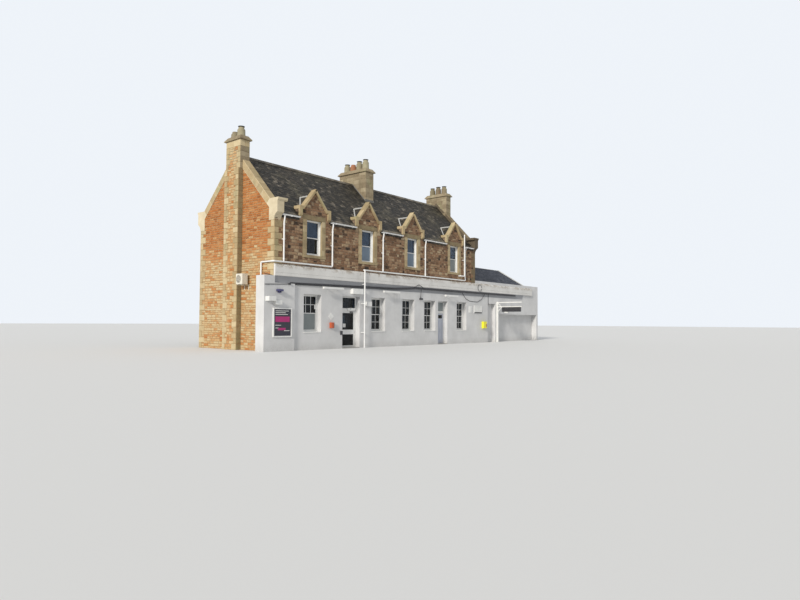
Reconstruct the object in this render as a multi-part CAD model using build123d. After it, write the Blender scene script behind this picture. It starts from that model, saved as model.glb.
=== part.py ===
from build123d import *
import math
import os

# A stone railway station building: a two-storey house with wallhead dormers, and a single-storey wing.
# Millimetres. The origin is on the ground under the middle of the house, on its ridge line.
# +X runs along the platform, +Y from the platform to the back, +Z up.

# House block
house_length = 19000
house_depth = 6700
wall = 600
floor_thickness = 50
eaves_z = 7200
roof_rise = 3440
roof_thickness = 150
eaves_overhang = 80
ridge_tile_half = 170
ridge_tile_rise = 60
first_floor_z = 4150
first_floor_thickness = 250

# Painted ground storey and the cornice over it
head_z = 3000
sill_z = 970
cavetto_foot_z = 3500
cavetto_height = 360
fascia_height = 540
weathering_height = 100
band_projection = 120

# Ground-floor openings of the platform front, from the left, with the piers between them
first_opening_x = -7470
ground_window_width = 1270
pier_a_hall = 1645
hall_doorway_width = 1430
pier_hall_b = 1020
pier_b_c = 1665
pier_c_d = 1080
pier_d_side = 310
side_doorway_width = 1125
pier_side_e = 1175
ground_reveal = 340

# End pier that laps the left gable's front corner
pier_width = 660
pier_lap = 1320
pier_depth = 660
pier_projection = 100

# Dormers over the wall head, each with an upper window under it
first_dormer_x = -6770
dormer_bay_1 = 4320
dormer_bay_2 = 4320
dormer_bay_3 = 4860
upper_window_width = 1080
upper_sill_rise = 620
upper_head_drop = 160
upper_reveal = 180
margin_width = 290
margin_lintel = 250
margin_sill = 150
margin_proud = 15
sill_proud = 45

# Dormer gablets
gablet_width = 2210
gablet_foot_rise = 340
kneeler_height = 175
kneeler_oversail = 35
kneeler_tail = 150
coping_foot_half = 850
coping_rise = 1035
coping_depth = 110
coping_length = 350
coping_projection = 120
strip_width = 200
strip_drop = 120
dormer_ridge_drop = 320

# Gable skews: raking copings that end on moulded corner blocks
skew_width = 410
skew_proud = 30
skew_above_roof = 200
skew_corbel_drop = 470
skew_corbel_height = 390
skew_block_height = 580
skew_cap_height = 160
skew_block_projection = 260
skew_cap_projection = 320
skew_cap_overhang = 190

# Chimneys: widths along the front and lengths across the house
stack_width = 600
stack_setback = 90
breast_projection = 290
left_breast_length = 1260
right_breast_length = 1900
breast_top_drop = 840
left_stack_length = 1280
middle_stack_width = 760
middle_stack_length = 2400
right_stack_length = 1930
stack_rise = 740
cap_height = 50
cap_oversail = 100
cap_weathering = 200
cap_slope_run = 150
pot_foot_radius = 235
pot_top_radius = 215
pot_shoulder = 90
pot_neck_radius = 155
pot_neck_height = 60
pot_bore = 115
pot_pitch = 560
cowl_radius = 185
cowl_thickness = 40
cowl_leg = 24
cowl_legs = 4
cowl_leg_height = 30
round_sides = 12

# Heights of the pots on each stack, from the front to the back, and whether each has a cowl
left_pots = ((500, True), (340, False))
middle_pots = ((600, True), (560, True), (470, False), (520, True))
right_pots = ((540, True), (560, True), (520, True))

# Wing
wing_length = 10350
wing_depth = 5400
wing_parapet_rise = 200
wing_wall_drop = 350
wing_roof_rise = 1850
wing_hip_run = 1700
wing_roof_thickness = 150
fascia_setback = 1250
cavetto_setback = 1600
blind_door_offset = 1870
blind_door_width = 1130
blind_door_reveal = 320
recess_pier = 500
recess_end_pier = 250
recess_head_z = 2200
recess_reveal = 460
wing_window_offset = 2700
wing_window_spacing = 4200

# Sash windows
sash_frame = 50
sash_check = 15
sash_stile = 45
sash_bottom_rail = 75
sash_depth = 45
glass_thickness = 6

# Doors
door_jamb = 70
door_frame_proud = 20
door_leaf_thickness = 45
door_gap = 6
transom_foot_z = 2150
transom_height = 170
fanlight_setback = 10
leaf_rail = 100
leaf_stile = 100
hall_mid_rail_z = 800
hall_mid_rail = 270
side_light_z = 1800
side_panel_top_z = 1700
side_lock_rail_z = 900
side_lock_rail = 120
side_muntin = 80
panel_sink = 12
hinge_radius = 9
hinge_length = 90
hinge_flap = 3
hinge_reach = 32
hinge_play = 0.3
hinge_inset = 200
handle_height = 1050
handle_length = 300
handle_radius = 11
handle_reach = 60
handle_bend = 15
handle_sides = 8

# Rainwater goods
gutter_radius = 62
gutter_wall = 5
gutter_drop = 130
gutter_flats = 6
pipe_radius = 42
pipe_bend = 45
tall_pipe_drop_out = 180
pipe_standoff = 50
pipe_neck = 160
pipe_inset = 150
collector_rise = 100
tall_pipe_offset = 190
gable_pipe_setback = 920
vent_pipe_offset = 1030
vent_foot_drop = 220
vent_top_rise = 750
clip_width = 40

# Fittings on the platform front
poster_inset = 550
poster_width = 1220
poster_z = 730
poster_height = 1490
poster_depth = 60
poster_rim = 60
poster_sink = 25
notice_inset = 145
notice_width = 1060
notice_z = 2230
notice_height = 580
notice_depth = 40
notice_rim = 40
notice_sink = 15
help_point_offset = 900
help_point_width = 450
help_point_z = 1090
help_point_height = 520
help_point_depth = 180
wall_light_length = 1500
wall_light_z = 3330
wall_light_width = 140
wall_light_height = 110
wall_light_reach = 330
wall_light_arm = 40
first_light_offset = 600
second_light_offset = 250
third_light_offset = 60
door_light_width = 850
door_light_height = 300
door_light_depth = 220
door_light_z = 3150
post_size = 130
post_top_z = 3180
arm_size = 70
lower_arm_z = 2750
upper_arm_z = 3090
arm_reach = 2200
brace_size = 50
board_length = 1600
board_setback = 500
board_height = 360
board_thickness = 160

half_length = house_length / 2
half_depth = house_depth / 2
front_y = -half_depth
inner_x = half_length - wall
ridge_z = eaves_z + roof_rise
slope = roof_rise / half_depth
roof_drop = roof_thickness * math.hypot(1, slope)
fascia_foot_z = cavetto_foot_z + cavetto_height
fascia_top_z = fascia_foot_z + fascia_height
band_top_z = fascia_top_z + weathering_height

# Edges of the ground-floor openings
window_a = (first_opening_x, first_opening_x + ground_window_width)
hall_doorway = (window_a[1] + pier_a_hall, window_a[1] + pier_a_hall + hall_doorway_width)
window_b = (hall_doorway[1] + pier_hall_b, hall_doorway[1] + pier_hall_b + ground_window_width)
window_c = (window_b[1] + pier_b_c, window_b[1] + pier_b_c + ground_window_width)
window_d = (window_c[1] + pier_c_d, window_c[1] + pier_c_d + ground_window_width)
side_doorway = (window_d[1] + pier_d_side, window_d[1] + pier_d_side + side_doorway_width)
window_e = (side_doorway[1] + pier_side_e, side_doorway[1] + pier_side_e + ground_window_width)

# Dormers and upper windows
dormer_xs = [first_dormer_x]
for bay in (dormer_bay_1, dormer_bay_2, dormer_bay_3):
    dormer_xs.append(dormer_xs[-1] + bay)
upper_sill_z = band_top_z + upper_sill_rise
upper_head_z = eaves_z - upper_head_drop
gablet_foot_z = eaves_z + gablet_foot_rise
kneeler_top_z = gablet_foot_z + kneeler_height
coping_apex_z = kneeler_top_z + coping_rise
coping_pitch = coping_rise / coping_foot_half
gablet_apex_z = coping_apex_z - coping_depth * math.hypot(1, coping_pitch)
gablet_foot_half = (gablet_apex_z - gablet_foot_z) / coping_pitch
kneeler_tip = gablet_width / 2 + kneeler_oversail
coping_back_y = front_y - coping_projection + coping_length
kneeler_back_y = coping_back_y + kneeler_tail

# Chimneys
left_stack_x = -half_length - breast_projection + stack_setback + stack_width / 2
right_stack_x = -left_stack_x
stack_top_z = ridge_z + stack_rise
breast_top_z = ridge_z - breast_top_drop

# Wing
wing_end_x = half_length + wing_length
wing_back_y = front_y + wing_depth
wing_parapet_z = band_top_z + wing_parapet_rise
wing_wall_head_z = wing_parapet_z - wing_wall_drop
wing_ridge_z = wing_wall_head_z + wing_roof_rise
fascia_end_x = wing_end_x - fascia_setback
cavetto_end_x = fascia_end_x - cavetto_setback
blind_door = (half_length + blind_door_offset, half_length + blind_door_offset + blind_door_width)
recess = (blind_door[1] + recess_pier, wing_end_x - recess_end_pier)
first_wing_window_x = half_length + wing_window_offset
wing_window_xs = (first_wing_window_x, first_wing_window_x + wing_window_spacing)

left_skew_range = (-half_length - skew_proud, -half_length + skew_width)
right_skew_range = (half_length - skew_width, half_length + skew_proud)


def box(x0, x1, y0, y1, z0, z1):
    """A block between two corners."""
    size = (x1 - x0, y1 - y0, z1 - z0)
    return Pos((x0 + x1) / 2, (y0 + y1) / 2, (z0 + z1) / 2) * Box(*size)


def along_x(points, x0, x1):
    """A profile of (y, z) points, run from x0 to x1."""
    plane = Plane(origin=(x0, 0, 0), x_dir=(0, 1, 0), z_dir=(1, 0, 0))
    return extrude(plane * make_face(Polyline(*points, close=True)), x1 - x0)


def along_y(points, y0, y1):
    """A profile of (x, z) points, run from y0 to y1."""
    plane = Plane(origin=(0, y1, 0), x_dir=(1, 0, 0), z_dir=(0, -1, 0))
    return extrude(plane * make_face(Polyline(*points, close=True)), y1 - y0)


def edges_along_x(edges, x0, x1):
    """A closed outline of edges in (y, z), run from x0 to x1."""
    plane = Plane(origin=(x0, 0, 0), x_dir=(0, 1, 0), z_dir=(1, 0, 0))
    return extrude(plane * make_face(edges), x1 - x0)


def eased(points, bend):
    """A route whose corners are each cut off, one bend's length along both runs."""
    route = [Vector(*points[0])]
    for before, at, after in zip(points, points[1:], points[2:]):
        corner = Vector(*at)
        route.append(corner + (Vector(*before) - corner).normalized() * bend)
        route.append(corner + (Vector(*after) - corner).normalized() * bend)
    route.append(Vector(*points[-1]))
    return route


def rod(points, radius, bend, sides=round_sides):
    """A pipe or bar of many flats along straight runs, with its corners eased."""
    path = Polyline(*eased(points, bend))
    section = Plane(path @ 0, z_dir=path % 0) * RegularPolygon(radius, sides)
    return sweep(section, path, transition=Transition.RIGHT)


def drum(foot_radius, top_radius, height):
    """An upright round piece of many flats, from the foot up, that may narrow."""
    taper = math.degrees(math.atan2(foot_radius - top_radius, height))
    return extrude(RegularPolygon(foot_radius, round_sides), height, taper=taper)


def roof_z(y):
    """Height of the house roof's outer surface."""
    return ridge_z - slope * abs(y)


def both_sides(shape):
    """A piece of the front and its mirror image at the back."""
    return [shape, mirror(shape, Plane.XZ)]


# Everything above the underside of the house roof, for trimming what it lands on.
past = half_depth + wall
above_roof = along_x(
    [
        (-past, roof_z(past) - roof_drop),
        (0, ridge_z - roof_drop),
        (past, roof_z(past) - roof_drop),
        (past, 2 * ridge_z),
        (-past, 2 * ridge_z),
    ],
    -house_length,
    house_length,
)


def window_gap(x0, x1, z0, z1):
    """A through hole for a window in the front wall."""
    return box(x0, x1, front_y - wall, front_y + 2 * wall, z0, z1)


def ground_floor():
    """Floor slabs of the house and wing, with the sills of the two doorways."""
    house = box(-inner_x, inner_x, front_y + wall, half_depth - wall, 0, floor_thickness)
    for doorway in (hall_doorway, side_doorway):
        house += box(*doorway, front_y, front_y + wall, 0, floor_thickness)
    wing = box(half_length, wing_end_x - wall, front_y + wall, wing_back_y - wall, 0, floor_thickness)
    return [house, wing - breast(right_breast_length, 1)]


def first_floor():
    """Floor over the ground storey of the house."""
    top = first_floor_z
    return box(-inner_x, inner_x, front_y + wall, half_depth - wall, top - first_floor_thickness, top)


def end_pier():
    """Painted pier that laps the left gable's front corner."""
    face = front_y - pier_projection
    left = -half_length - pier_width
    pier = box(left, -half_length, face, face + pier_depth, 0, fascia_foot_z)
    return pier + box(-half_length, -half_length + pier_lap, face, front_y, 0, cavetto_foot_z)


def front_wall(x0, x1, windows):
    """Painted front wall between two doorways or corners, up to the window heads."""
    part = box(x0, x1, front_y, front_y + wall, 0, head_z)
    for edges in windows:
        part -= window_gap(*edges, sill_z, head_z + wall)
    return part


def front_wall_head():
    """The wall over the ground-floor openings, with the wing's parapet."""
    house = box(-inner_x, half_length, front_y, front_y + wall, head_z, band_top_z)
    return house + box(half_length, wing_end_x, front_y, front_y + wall, head_z, wing_parapet_z)


def cornice():
    """Fascia band on a hollow cavetto moulding."""
    face = front_y - band_projection
    hollow = TangentArc((front_y, cavetto_foot_z), (face, fascia_foot_z), tangent=(0, 1))
    under = Line((face, fascia_foot_z), (front_y, fascia_foot_z))
    back = Line((front_y, fascia_foot_z), (front_y, cavetto_foot_z))
    cavetto = edges_along_x([hollow, under, back], -half_length, cavetto_end_x)
    fascia = along_x(
        [
            (front_y, fascia_foot_z),
            (face, fascia_foot_z),
            (face, fascia_top_z),
            (front_y, band_top_z),
        ],
        -half_length,
        fascia_end_x,
    )
    return cavetto + fascia


def kneeler_edges(x, tip):
    """Left and right edges of the two kneelers of one dormer, or of what they stand on."""
    return (x - tip, x - coping_foot_half), (x + coping_foot_half, x + tip)


def gablet(x):
    """Wall of one dormer: blocks that carry the kneelers, and a thin peak behind the copings."""
    half = gablet_width / 2
    part = box(x - half, x + half, front_y, coping_back_y, upper_sill_z, gablet_foot_z)
    for edges in kneeler_edges(x, half):
        part += box(*edges, front_y, kneeler_back_y, upper_sill_z, gablet_foot_z)
    peak = [
        (x - gablet_foot_half, gablet_foot_z),
        (x, gablet_apex_z),
        (x + gablet_foot_half, gablet_foot_z),
    ]
    return part + along_y(peak, front_y, coping_back_y)


def margin_outline(x, sill, head):
    """Outer edges of the dressed stones round a window."""
    half = upper_window_width / 2 + margin_width
    return x - half, x + half, sill - margin_sill, head + margin_lintel


def gablet_wall(z0):
    """Rubble wall with a gablet over each window, seen on the front."""
    part = box(-inner_x, inner_x, front_y, front_y + wall, z0, gablet_foot_z) - above_roof
    for x in dormer_xs:
        part += gablet(x)
    for x in dormer_xs:
        part -= window_gap(*margin_outline(x, upper_sill_z, upper_head_z))
    return part


def upper_front_wall():
    """Rubble wall of the upper storey on the platform front."""
    return gablet_wall(band_top_z)


def rear_wall():
    """Rubble rear wall of both storeys."""
    part = gablet_wall(0)
    for x in dormer_xs:
        part -= window_gap(*margin_outline(x, sill_z, head_z))
    return mirror(part, Plane.XZ)


def window_margin(x, sill, head):
    """Dressed jambs, lintel and projecting sill round one window."""
    x0, x1, low, high = margin_outline(x, sill, head)
    ring = box(x0, x1, coping_back_y, front_y + wall, low, high) - above_roof
    ring += box(x0, x1, front_y - margin_proud, coping_back_y, low, high)
    ring += box(x0, x1, front_y - sill_proud, front_y, low, sill)
    half = upper_window_width / 2
    return ring - window_gap(x - half, x + half, sill, head)


def window_margins():
    """Dressed stone round the upper windows and the rear windows."""
    parts = []
    for x in dormer_xs:
        parts += both_sides(window_margin(x, upper_sill_z, upper_head_z))
        parts.append(mirror(window_margin(x, sill_z, head_z), Plane.XZ))
    return parts


def dormer_coping(x):
    """Raking copings with kneelers and short raised strips on one gablet."""
    outline = [
        (x - kneeler_tip, gablet_foot_z),
        (x - kneeler_tip, kneeler_top_z),
        (x - coping_foot_half, kneeler_top_z),
        (x, coping_apex_z),
        (x + coping_foot_half, kneeler_top_z),
        (x + kneeler_tip, kneeler_top_z),
        (x + kneeler_tip, gablet_foot_z),
        (x + gablet_foot_half, gablet_foot_z),
        (x, gablet_apex_z),
        (x - gablet_foot_half, gablet_foot_z),
    ]
    part = along_y(outline, front_y - coping_projection, coping_back_y)
    for edges in kneeler_edges(x, kneeler_tip):
        part += box(*edges, coping_back_y, kneeler_back_y, gablet_foot_z, kneeler_top_z)
    strip_foot_z = eaves_z - strip_drop
    outline = [
        (front_y, strip_foot_z),
        (front_y - coping_projection, strip_foot_z + coping_projection),
        (front_y - coping_projection, gablet_foot_z),
        (front_y, gablet_foot_z),
    ]
    part += along_x(outline, x - kneeler_tip, x - kneeler_tip + strip_width)
    return part + along_x(outline, x + kneeler_tip - strip_width, x + kneeler_tip)


def dormer_copings():
    """Copings of every gablet, front and back."""
    parts = []
    for x in dormer_xs:
        parts += both_sides(dormer_coping(x))
    return parts


def stack(x, width, length, foot_z):
    """A chimney stack with an oversailing cap and a weathered top."""
    part = box(x - width / 2, x + width / 2, -length / 2, length / 2, foot_z, stack_top_z)
    cap = Rectangle(width + 2 * cap_oversail, length + 2 * cap_oversail)
    part += Pos(x, 0, stack_top_z) * extrude(cap, cap_height)
    taper = math.degrees(math.atan2(cap_slope_run, cap_weathering))
    return part + Pos(x, 0, stack_top_z + cap_height) * extrude(cap, cap_weathering, taper=taper)


def left_chimney():
    """Stack on the left gable."""
    return stack(left_stack_x, stack_width, left_stack_length, breast_top_z)


def middle_chimney():
    """Stack astride the middle of the ridge."""
    foot = roof_z(middle_stack_length / 2) - roof_drop
    return stack(0, middle_stack_width, middle_stack_length, foot)


def right_chimney():
    """Stack on the right gable."""
    return stack(right_stack_x, stack_width, right_stack_length, breast_top_z)


def breast(length, side):
    """A flue breast that runs up the outside of a gable."""
    edges = sorted((side * half_length, side * (half_length + breast_projection)))
    return box(*edges, -length / 2, length / 2, 0, breast_top_z)


def chimney_breasts():
    """Flue breasts of both gables."""
    return [breast(left_breast_length, -1), breast(right_breast_length, 1)]


def pot_places():
    """Centre, height and cowl of each chimney pot."""
    places = []
    for x, row in ((left_stack_x, left_pots), (0, middle_pots), (right_stack_x, right_pots)):
        for i, (height, cowled) in enumerate(row):
            places.append((x, (i - (len(row) - 1) / 2) * pot_pitch, height, cowled))
    return places


pot_foot_z = stack_top_z + cap_height + cap_weathering


def chimney_pots():
    """Broad clay pots with a sloping shoulder and a short neck, bored through."""
    parts = []
    for x, y, height, cowled in pot_places():
        shoulder_z = height - pot_neck_height - pot_shoulder
        pot = drum(pot_foot_radius, pot_top_radius, shoulder_z)
        pot += Pos(0, 0, shoulder_z) * drum(pot_top_radius, pot_neck_radius, pot_shoulder)
        pot += Pos(0, 0, height - pot_neck_height) * drum(pot_neck_radius, pot_neck_radius, pot_neck_height)
        pot -= drum(pot_bore, pot_bore, height)
        parts.append(Pos(x, y, pot_foot_z) * pot)
    return parts


def chimney_cowls():
    """Flat rain caps on four legs that stand on the pots' rims."""
    parts = []
    reach = (pot_bore + pot_neck_radius) / 2
    half = cowl_leg / 2
    for x, y, height, cowled in pot_places():
        if not cowled:
            continue
        cap = Pos(0, 0, cowl_leg_height) * drum(cowl_radius, cowl_radius, cowl_thickness)
        for turn in range(cowl_legs):
            leg = box(reach - half, reach + half, -half, half, 0, cowl_leg_height)
            cap += Rot(0, 0, 360 / cowl_legs * turn) * leg
        parts.append(Pos(x, y, pot_foot_z + height) * cap)
    return parts


def gable_polygon():
    """Outline of a gable wall under the roof and skews."""
    return [
        (-half_depth, 0),
        (half_depth, 0),
        (half_depth, roof_z(half_depth) - roof_drop),
        (0, ridge_z - roof_drop),
        (-half_depth, roof_z(half_depth) - roof_drop),
    ]


def skew(x0, x1, inner_side):
    """Raking copings over a gable with a moulded, capped corner block at each foot."""
    top = ridge_z + skew_above_roof * math.hypot(1, slope)
    corbel_z = eaves_z - skew_corbel_drop
    block_z = corbel_z + skew_corbel_height
    cap_foot_z = block_z + skew_block_height
    cap_top_z = cap_foot_z + skew_cap_height
    cap_meet = (top - cap_top_z) / slope
    block_y = half_depth + skew_block_projection
    cap_y = half_depth + skew_cap_projection
    root_y = half_depth - skew_width
    outer, inner = (x0, x1) if inner_side > 0 else (x1, x0)
    cap_edges = sorted((outer, inner + inner_side * skew_cap_overhang))
    part = None
    for side in (-1, 1):
        foot = (side * half_depth, corbel_z)
        hollow = TangentArc(foot, (side * block_y, block_z), tangent=(0, 1))
        run = Polyline(
            (side * block_y, block_z),
            (side * block_y, cap_top_z),
            (side * cap_meet, cap_top_z),
            (0, top),
            (0, ridge_z - roof_drop),
            (side * root_y, roof_z(root_y) - roof_drop),
            (side * root_y, corbel_z),
            foot,
        )
        half = edges_along_x([hollow, run], x0, x1)
        splay = skew_cap_projection - skew_block_projection
        cap = [
            (side * block_y, cap_foot_z),
            (side * cap_y, cap_foot_z + splay),
            (side * cap_y, cap_top_z),
            (side * cap_meet, cap_top_z),
            (side * cap_meet, cap_foot_z),
        ]
        half += along_x(cap, *cap_edges)
        part = half if part is None else part + half
    return part


def left_skew():
    """Skew of the left gable."""
    return skew(*left_skew_range, 1)


def right_skew():
    """Skew of the right gable."""
    return skew(*right_skew_range, -1)


def gable_skews():
    """Skews of both gables, cut round the stacks that stand on them."""
    left = left_skew() - left_chimney() - breast(left_breast_length, -1)
    right = right_skew() - right_chimney() - breast(right_breast_length, 1)
    return [*left.solids(), *right.solids()]


def left_gable_wall():
    """Rubble gable at the left end."""
    part = along_x(gable_polygon(), -half_length, -inner_x)
    return part - left_chimney() - left_skew()


def right_gable_wall():
    """Gable at the right end, standing over the wing's roof."""
    part = along_x(gable_polygon(), inner_x, half_length)
    part -= box(inner_x, half_length, front_y, front_y + wall, 0, band_top_z)
    return part - right_chimney() - right_skew()


def main_roof():
    """Slated roof of the house: two slopes notched at each gablet."""
    edge = half_depth + eaves_overhang
    outline = [
        (-edge, roof_z(edge) - roof_drop),
        (-edge, roof_z(edge)),
        (0, ridge_z),
        (edge, roof_z(edge)),
        (edge, roof_z(edge) - roof_drop),
        (0, ridge_z - roof_drop),
    ]
    part = along_x(outline, left_skew_range[1], right_skew_range[0])
    for x in dormer_xs:
        notch = box(x - kneeler_tip, x + kneeler_tip, front_y - wall, coping_back_y, 0, ridge_z)
        for edges in kneeler_edges(x, kneeler_tip):
            notch += box(*edges, front_y - wall, kneeler_back_y, 0, ridge_z)
        for piece in both_sides(notch):
            part -= piece
    return part - middle_chimney() - left_chimney() - right_chimney() - left_skew() - right_skew()


def ridge_tiles():
    """Capping along the ridge, between the stacks."""
    foot = ridge_z - slope * ridge_tile_half
    outline = [
        (-ridge_tile_half, foot),
        (-ridge_tile_half, foot + ridge_tile_rise),
        (0, ridge_z + ridge_tile_rise),
        (ridge_tile_half, foot + ridge_tile_rise),
        (ridge_tile_half, foot),
        (0, ridge_z),
    ]
    left_end = max(left_stack_x + stack_width / 2, left_skew_range[1])
    right_end = min(right_stack_x - stack_width / 2, right_skew_range[0])
    half = middle_stack_width / 2
    return [along_x(outline, left_end, -half), along_x(outline, half, right_end)]


def dormer_roofs():
    """Small slated roofs that run back from the gablets to the main slope."""
    apex = coping_apex_z - dormer_ridge_drop
    half = (apex - eaves_z) / coping_pitch
    below = along_x(
        [(-past, 0), (-past, roof_z(past)), (0, ridge_z), (0, 0)],
        -house_length,
        house_length,
    )
    parts = []
    for x in dormer_xs:
        outline = [(x - half, eaves_z), (x, apex), (x + half, eaves_z)]
        parts += both_sides(along_y(outline, coping_back_y, 0) - below)
    return parts


def gutter_spans():
    """Stretches of eaves between the gablets and the skews."""
    stops = [left_skew_range[1]]
    for x in dormer_xs:
        stops += [x - kneeler_tip, x + kneeler_tip]
    stops.append(right_skew_range[0])
    return list(zip(stops[0::2], stops[1::2]))


gutter_rim_z = eaves_z - gutter_drop
gutter_y = front_y - eaves_overhang - gutter_radius


def gutters():
    """Half-round gutters at the front and back eaves."""
    turns = [math.pi * (1 + i / gutter_flats) for i in range(gutter_flats + 1)]
    outline = []
    for radius, order in ((gutter_radius, turns), (gutter_radius - gutter_wall, reversed(turns))):
        outline += [(gutter_y + radius * math.cos(a), gutter_rim_z + radius * math.sin(a)) for a in order]
    parts = []
    for x0, x1 in gutter_spans():
        parts += both_sides(along_x(outline, x0, x1))
    return parts


pipe_y = front_y - pipe_standoff - pipe_radius


def drop_route(x):
    """The top of a downpipe: out of the gutter and back to the wall with a swan neck."""
    top = gutter_rim_z - gutter_radius
    return [(x, gutter_y, top), (x, gutter_y, top - pipe_neck), (x, pipe_y, top - 2 * pipe_neck)]


def clip(x, y, z):
    """A wall clip that holds a pipe off the front wall."""
    return box(x - clip_width, x + clip_width, y, front_y, z - clip_width / 2, z + clip_width / 2)


def rainwater_pipes():
    """Downpipes from the gutters into two collectors, plain ones at the back, and a vent pipe."""
    collector_z = band_top_z + collector_rise
    xs = [x0 + pipe_inset for x0, x1 in gutter_spans()]
    gable_x = -half_length - pipe_radius - pipe_standoff
    gable_y = front_y + gable_pipe_setback
    tall_x = hall_doorway[1] + tall_pipe_offset
    tall_y = front_y - tall_pipe_drop_out - pipe_radius
    left_tail = [
        (gable_x, pipe_y, collector_z),
        (gable_x, gable_y, collector_z),
        (gable_x, gable_y, 0),
    ]
    right_tail = [
        (tall_x, pipe_y, collector_z),
        (tall_x, tall_y, collector_z),
        (tall_x, tall_y, 0),
    ]
    clip_z = (gutter_rim_z + collector_z) / 2
    left = rod([*drop_route(xs[1]), (xs[1], pipe_y, collector_z), *left_tail], pipe_radius, pipe_bend)
    right = rod([*drop_route(xs[4]), (xs[4], pipe_y, collector_z), *right_tail], pipe_radius, pipe_bend)
    left += rod([*drop_route(xs[0]), (xs[0], pipe_y, collector_z)], pipe_radius, pipe_bend)
    for x in xs[2:4]:
        right += rod([*drop_route(x), (x, pipe_y, collector_z)], pipe_radius, pipe_bend)
    for x in xs[:2]:
        left += clip(x, pipe_y, clip_z)
    for x in xs[2:]:
        right += clip(x, pipe_y, clip_z)
    right += clip(tall_x, tall_y, head_z)
    right += clip(tall_x, tall_y, sill_z)
    parts = [left, right]
    for x in xs:
        pipe = rod([*drop_route(x), (x, pipe_y, 0)], pipe_radius, pipe_bend)
        for z in (head_z, clip_z):
            pipe += clip(x, pipe_y, z)
        parts.append(mirror(pipe, Plane.XZ))
    vent_x = dormer_xs[-1] + vent_pipe_offset
    vent_z = upper_sill_z - vent_foot_drop
    vent_y = front_y - coping_projection - 2 * pipe_radius
    start_x = dormer_xs[-1] + upper_window_width / 2
    route = [
        (start_x, front_y, vent_z),
        (start_x, vent_y, vent_z),
        (vent_x, vent_y, vent_z),
        (vent_x, vent_y, eaves_z + vent_top_rise),
    ]
    vent = rod(route, pipe_radius, pipe_bend) + clip(vent_x, vent_y, (upper_sill_z + upper_head_z) / 2)
    return [*parts, vent]


def sash_window(x0, x1, z0, z1, face_y):
    """A vertical sliding sash window: its fixed frame with both sashes, and their two panes."""
    upper_y = face_y + sash_check
    lower_y = upper_y + sash_depth
    back_y = lower_y + sash_depth + sash_check
    frame = box(x0, x1, face_y, back_y, z0, z1)
    ix0, ix1 = x0 + sash_frame, x1 - sash_frame
    iz0, iz1 = z0 + sash_frame, z1 - sash_frame
    frame -= box(ix0, ix1, face_y, back_y, iz0, iz1)
    middle = (z0 + z1) / 2
    half_rail = sash_stile / 2
    panes = []
    for low, high, y, rail in (
        (middle - half_rail, iz1, upper_y, sash_stile),
        (iz0, middle + half_rail, lower_y, sash_bottom_rail),
    ):
        light = (ix0 + sash_stile, ix1 - sash_stile)
        heights = (low + rail, high - sash_stile)
        sash = box(ix0, ix1, y, y + sash_depth, low, high)
        frame += sash - box(*light, y, y + sash_depth, *heights)
        glass_y = y + (sash_depth - glass_thickness) / 2
        panes.append(box(*light, glass_y, glass_y + glass_thickness, *heights))
    return frame, panes


def all_ground_windows():
    """Ground-floor sash windows of the front, the rear and the wing's rear."""
    frames, panes = [], []
    for edges in (window_a, window_b, window_c, window_d, window_e):
        frame, glass = sash_window(*edges, sill_z, head_z, front_y + ground_reveal)
        frames.append(frame)
        panes += glass
    half = upper_window_width / 2
    rear = [(x, 0) for x in dormer_xs] + [(x, wing_back_y - half_depth) for x in wing_window_xs]
    for x, shift in rear:
        frame, glass = sash_window(x - half, x + half, sill_z, head_z, front_y + upper_reveal)
        frames.append(Pos(0, shift, 0) * mirror(frame, Plane.XZ))
        panes += [Pos(0, shift, 0) * mirror(pane, Plane.XZ) for pane in glass]
    return frames, panes


def all_upper_windows():
    """Upper sash windows, front and back."""
    frames, panes = [], []
    half = upper_window_width / 2
    for x in dormer_xs:
        frame, glass = sash_window(x - half, x + half, upper_sill_z, upper_head_z, front_y + upper_reveal)
        frames += both_sides(frame)
        for pane in glass:
            panes += both_sides(pane)
    return frames, panes


leaf_y = front_y + ground_reveal
leaf_back_y = leaf_y + door_leaf_thickness
leaf_foot_z = floor_thickness + door_gap
leaf_top_z = transom_foot_z - door_gap
hinge_y = leaf_back_y + hinge_radius


def door_frame(doorway):
    """Fixed frame of a door with its transom and fanlight opening."""
    x0, x1 = doorway
    face = leaf_y - door_frame_proud
    frame = box(x0, x1, face, leaf_back_y, floor_thickness, head_z)
    inside = (x0 + door_jamb, x1 - door_jamb)
    frame -= box(*inside, face, leaf_back_y, floor_thickness, transom_foot_z)
    fan_foot = transom_foot_z + transom_height
    return frame - box(*inside, face, leaf_back_y, fan_foot, head_z - door_jamb)


def fanlight(doorway):
    """Pane over a door's transom."""
    x0, x1 = doorway
    y = leaf_y + fanlight_setback
    foot = transom_foot_z + transom_height
    return box(x0 + door_jamb, x1 - door_jamb, y, y + glass_thickness, foot, head_z - door_jamb)


def hinge_axis(doorway):
    """Where a door's hinge line stands along the front."""
    return doorway[1] - door_jamb - door_gap / 2


def hinges(doorway):
    """Fixed and moving knuckles, with their flaps, of three butt hinges."""
    x = hinge_axis(doorway)
    fixed, moving = [], []
    lowest = leaf_foot_z + hinge_inset
    highest = leaf_top_z - hinge_inset - hinge_length
    for z in (lowest, (lowest + highest) / 2, highest):
        knuckle = Pos(x, hinge_y, z) * drum(hinge_radius, hinge_radius, hinge_length)
        knuckle += box(x - hinge_reach, x, leaf_back_y, leaf_back_y + hinge_flap, z, z + hinge_length)
        moving.append(knuckle)
        half = hinge_length / 2
        for foot in (z - half - hinge_play, z + hinge_length + hinge_play):
            knuckle = Pos(x, hinge_y, foot) * drum(hinge_radius, hinge_radius, half)
            knuckle += box(x, x + hinge_reach, leaf_back_y, leaf_back_y + hinge_flap, foot, foot + half)
            fixed.append(knuckle)
    return fixed, moving


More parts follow.
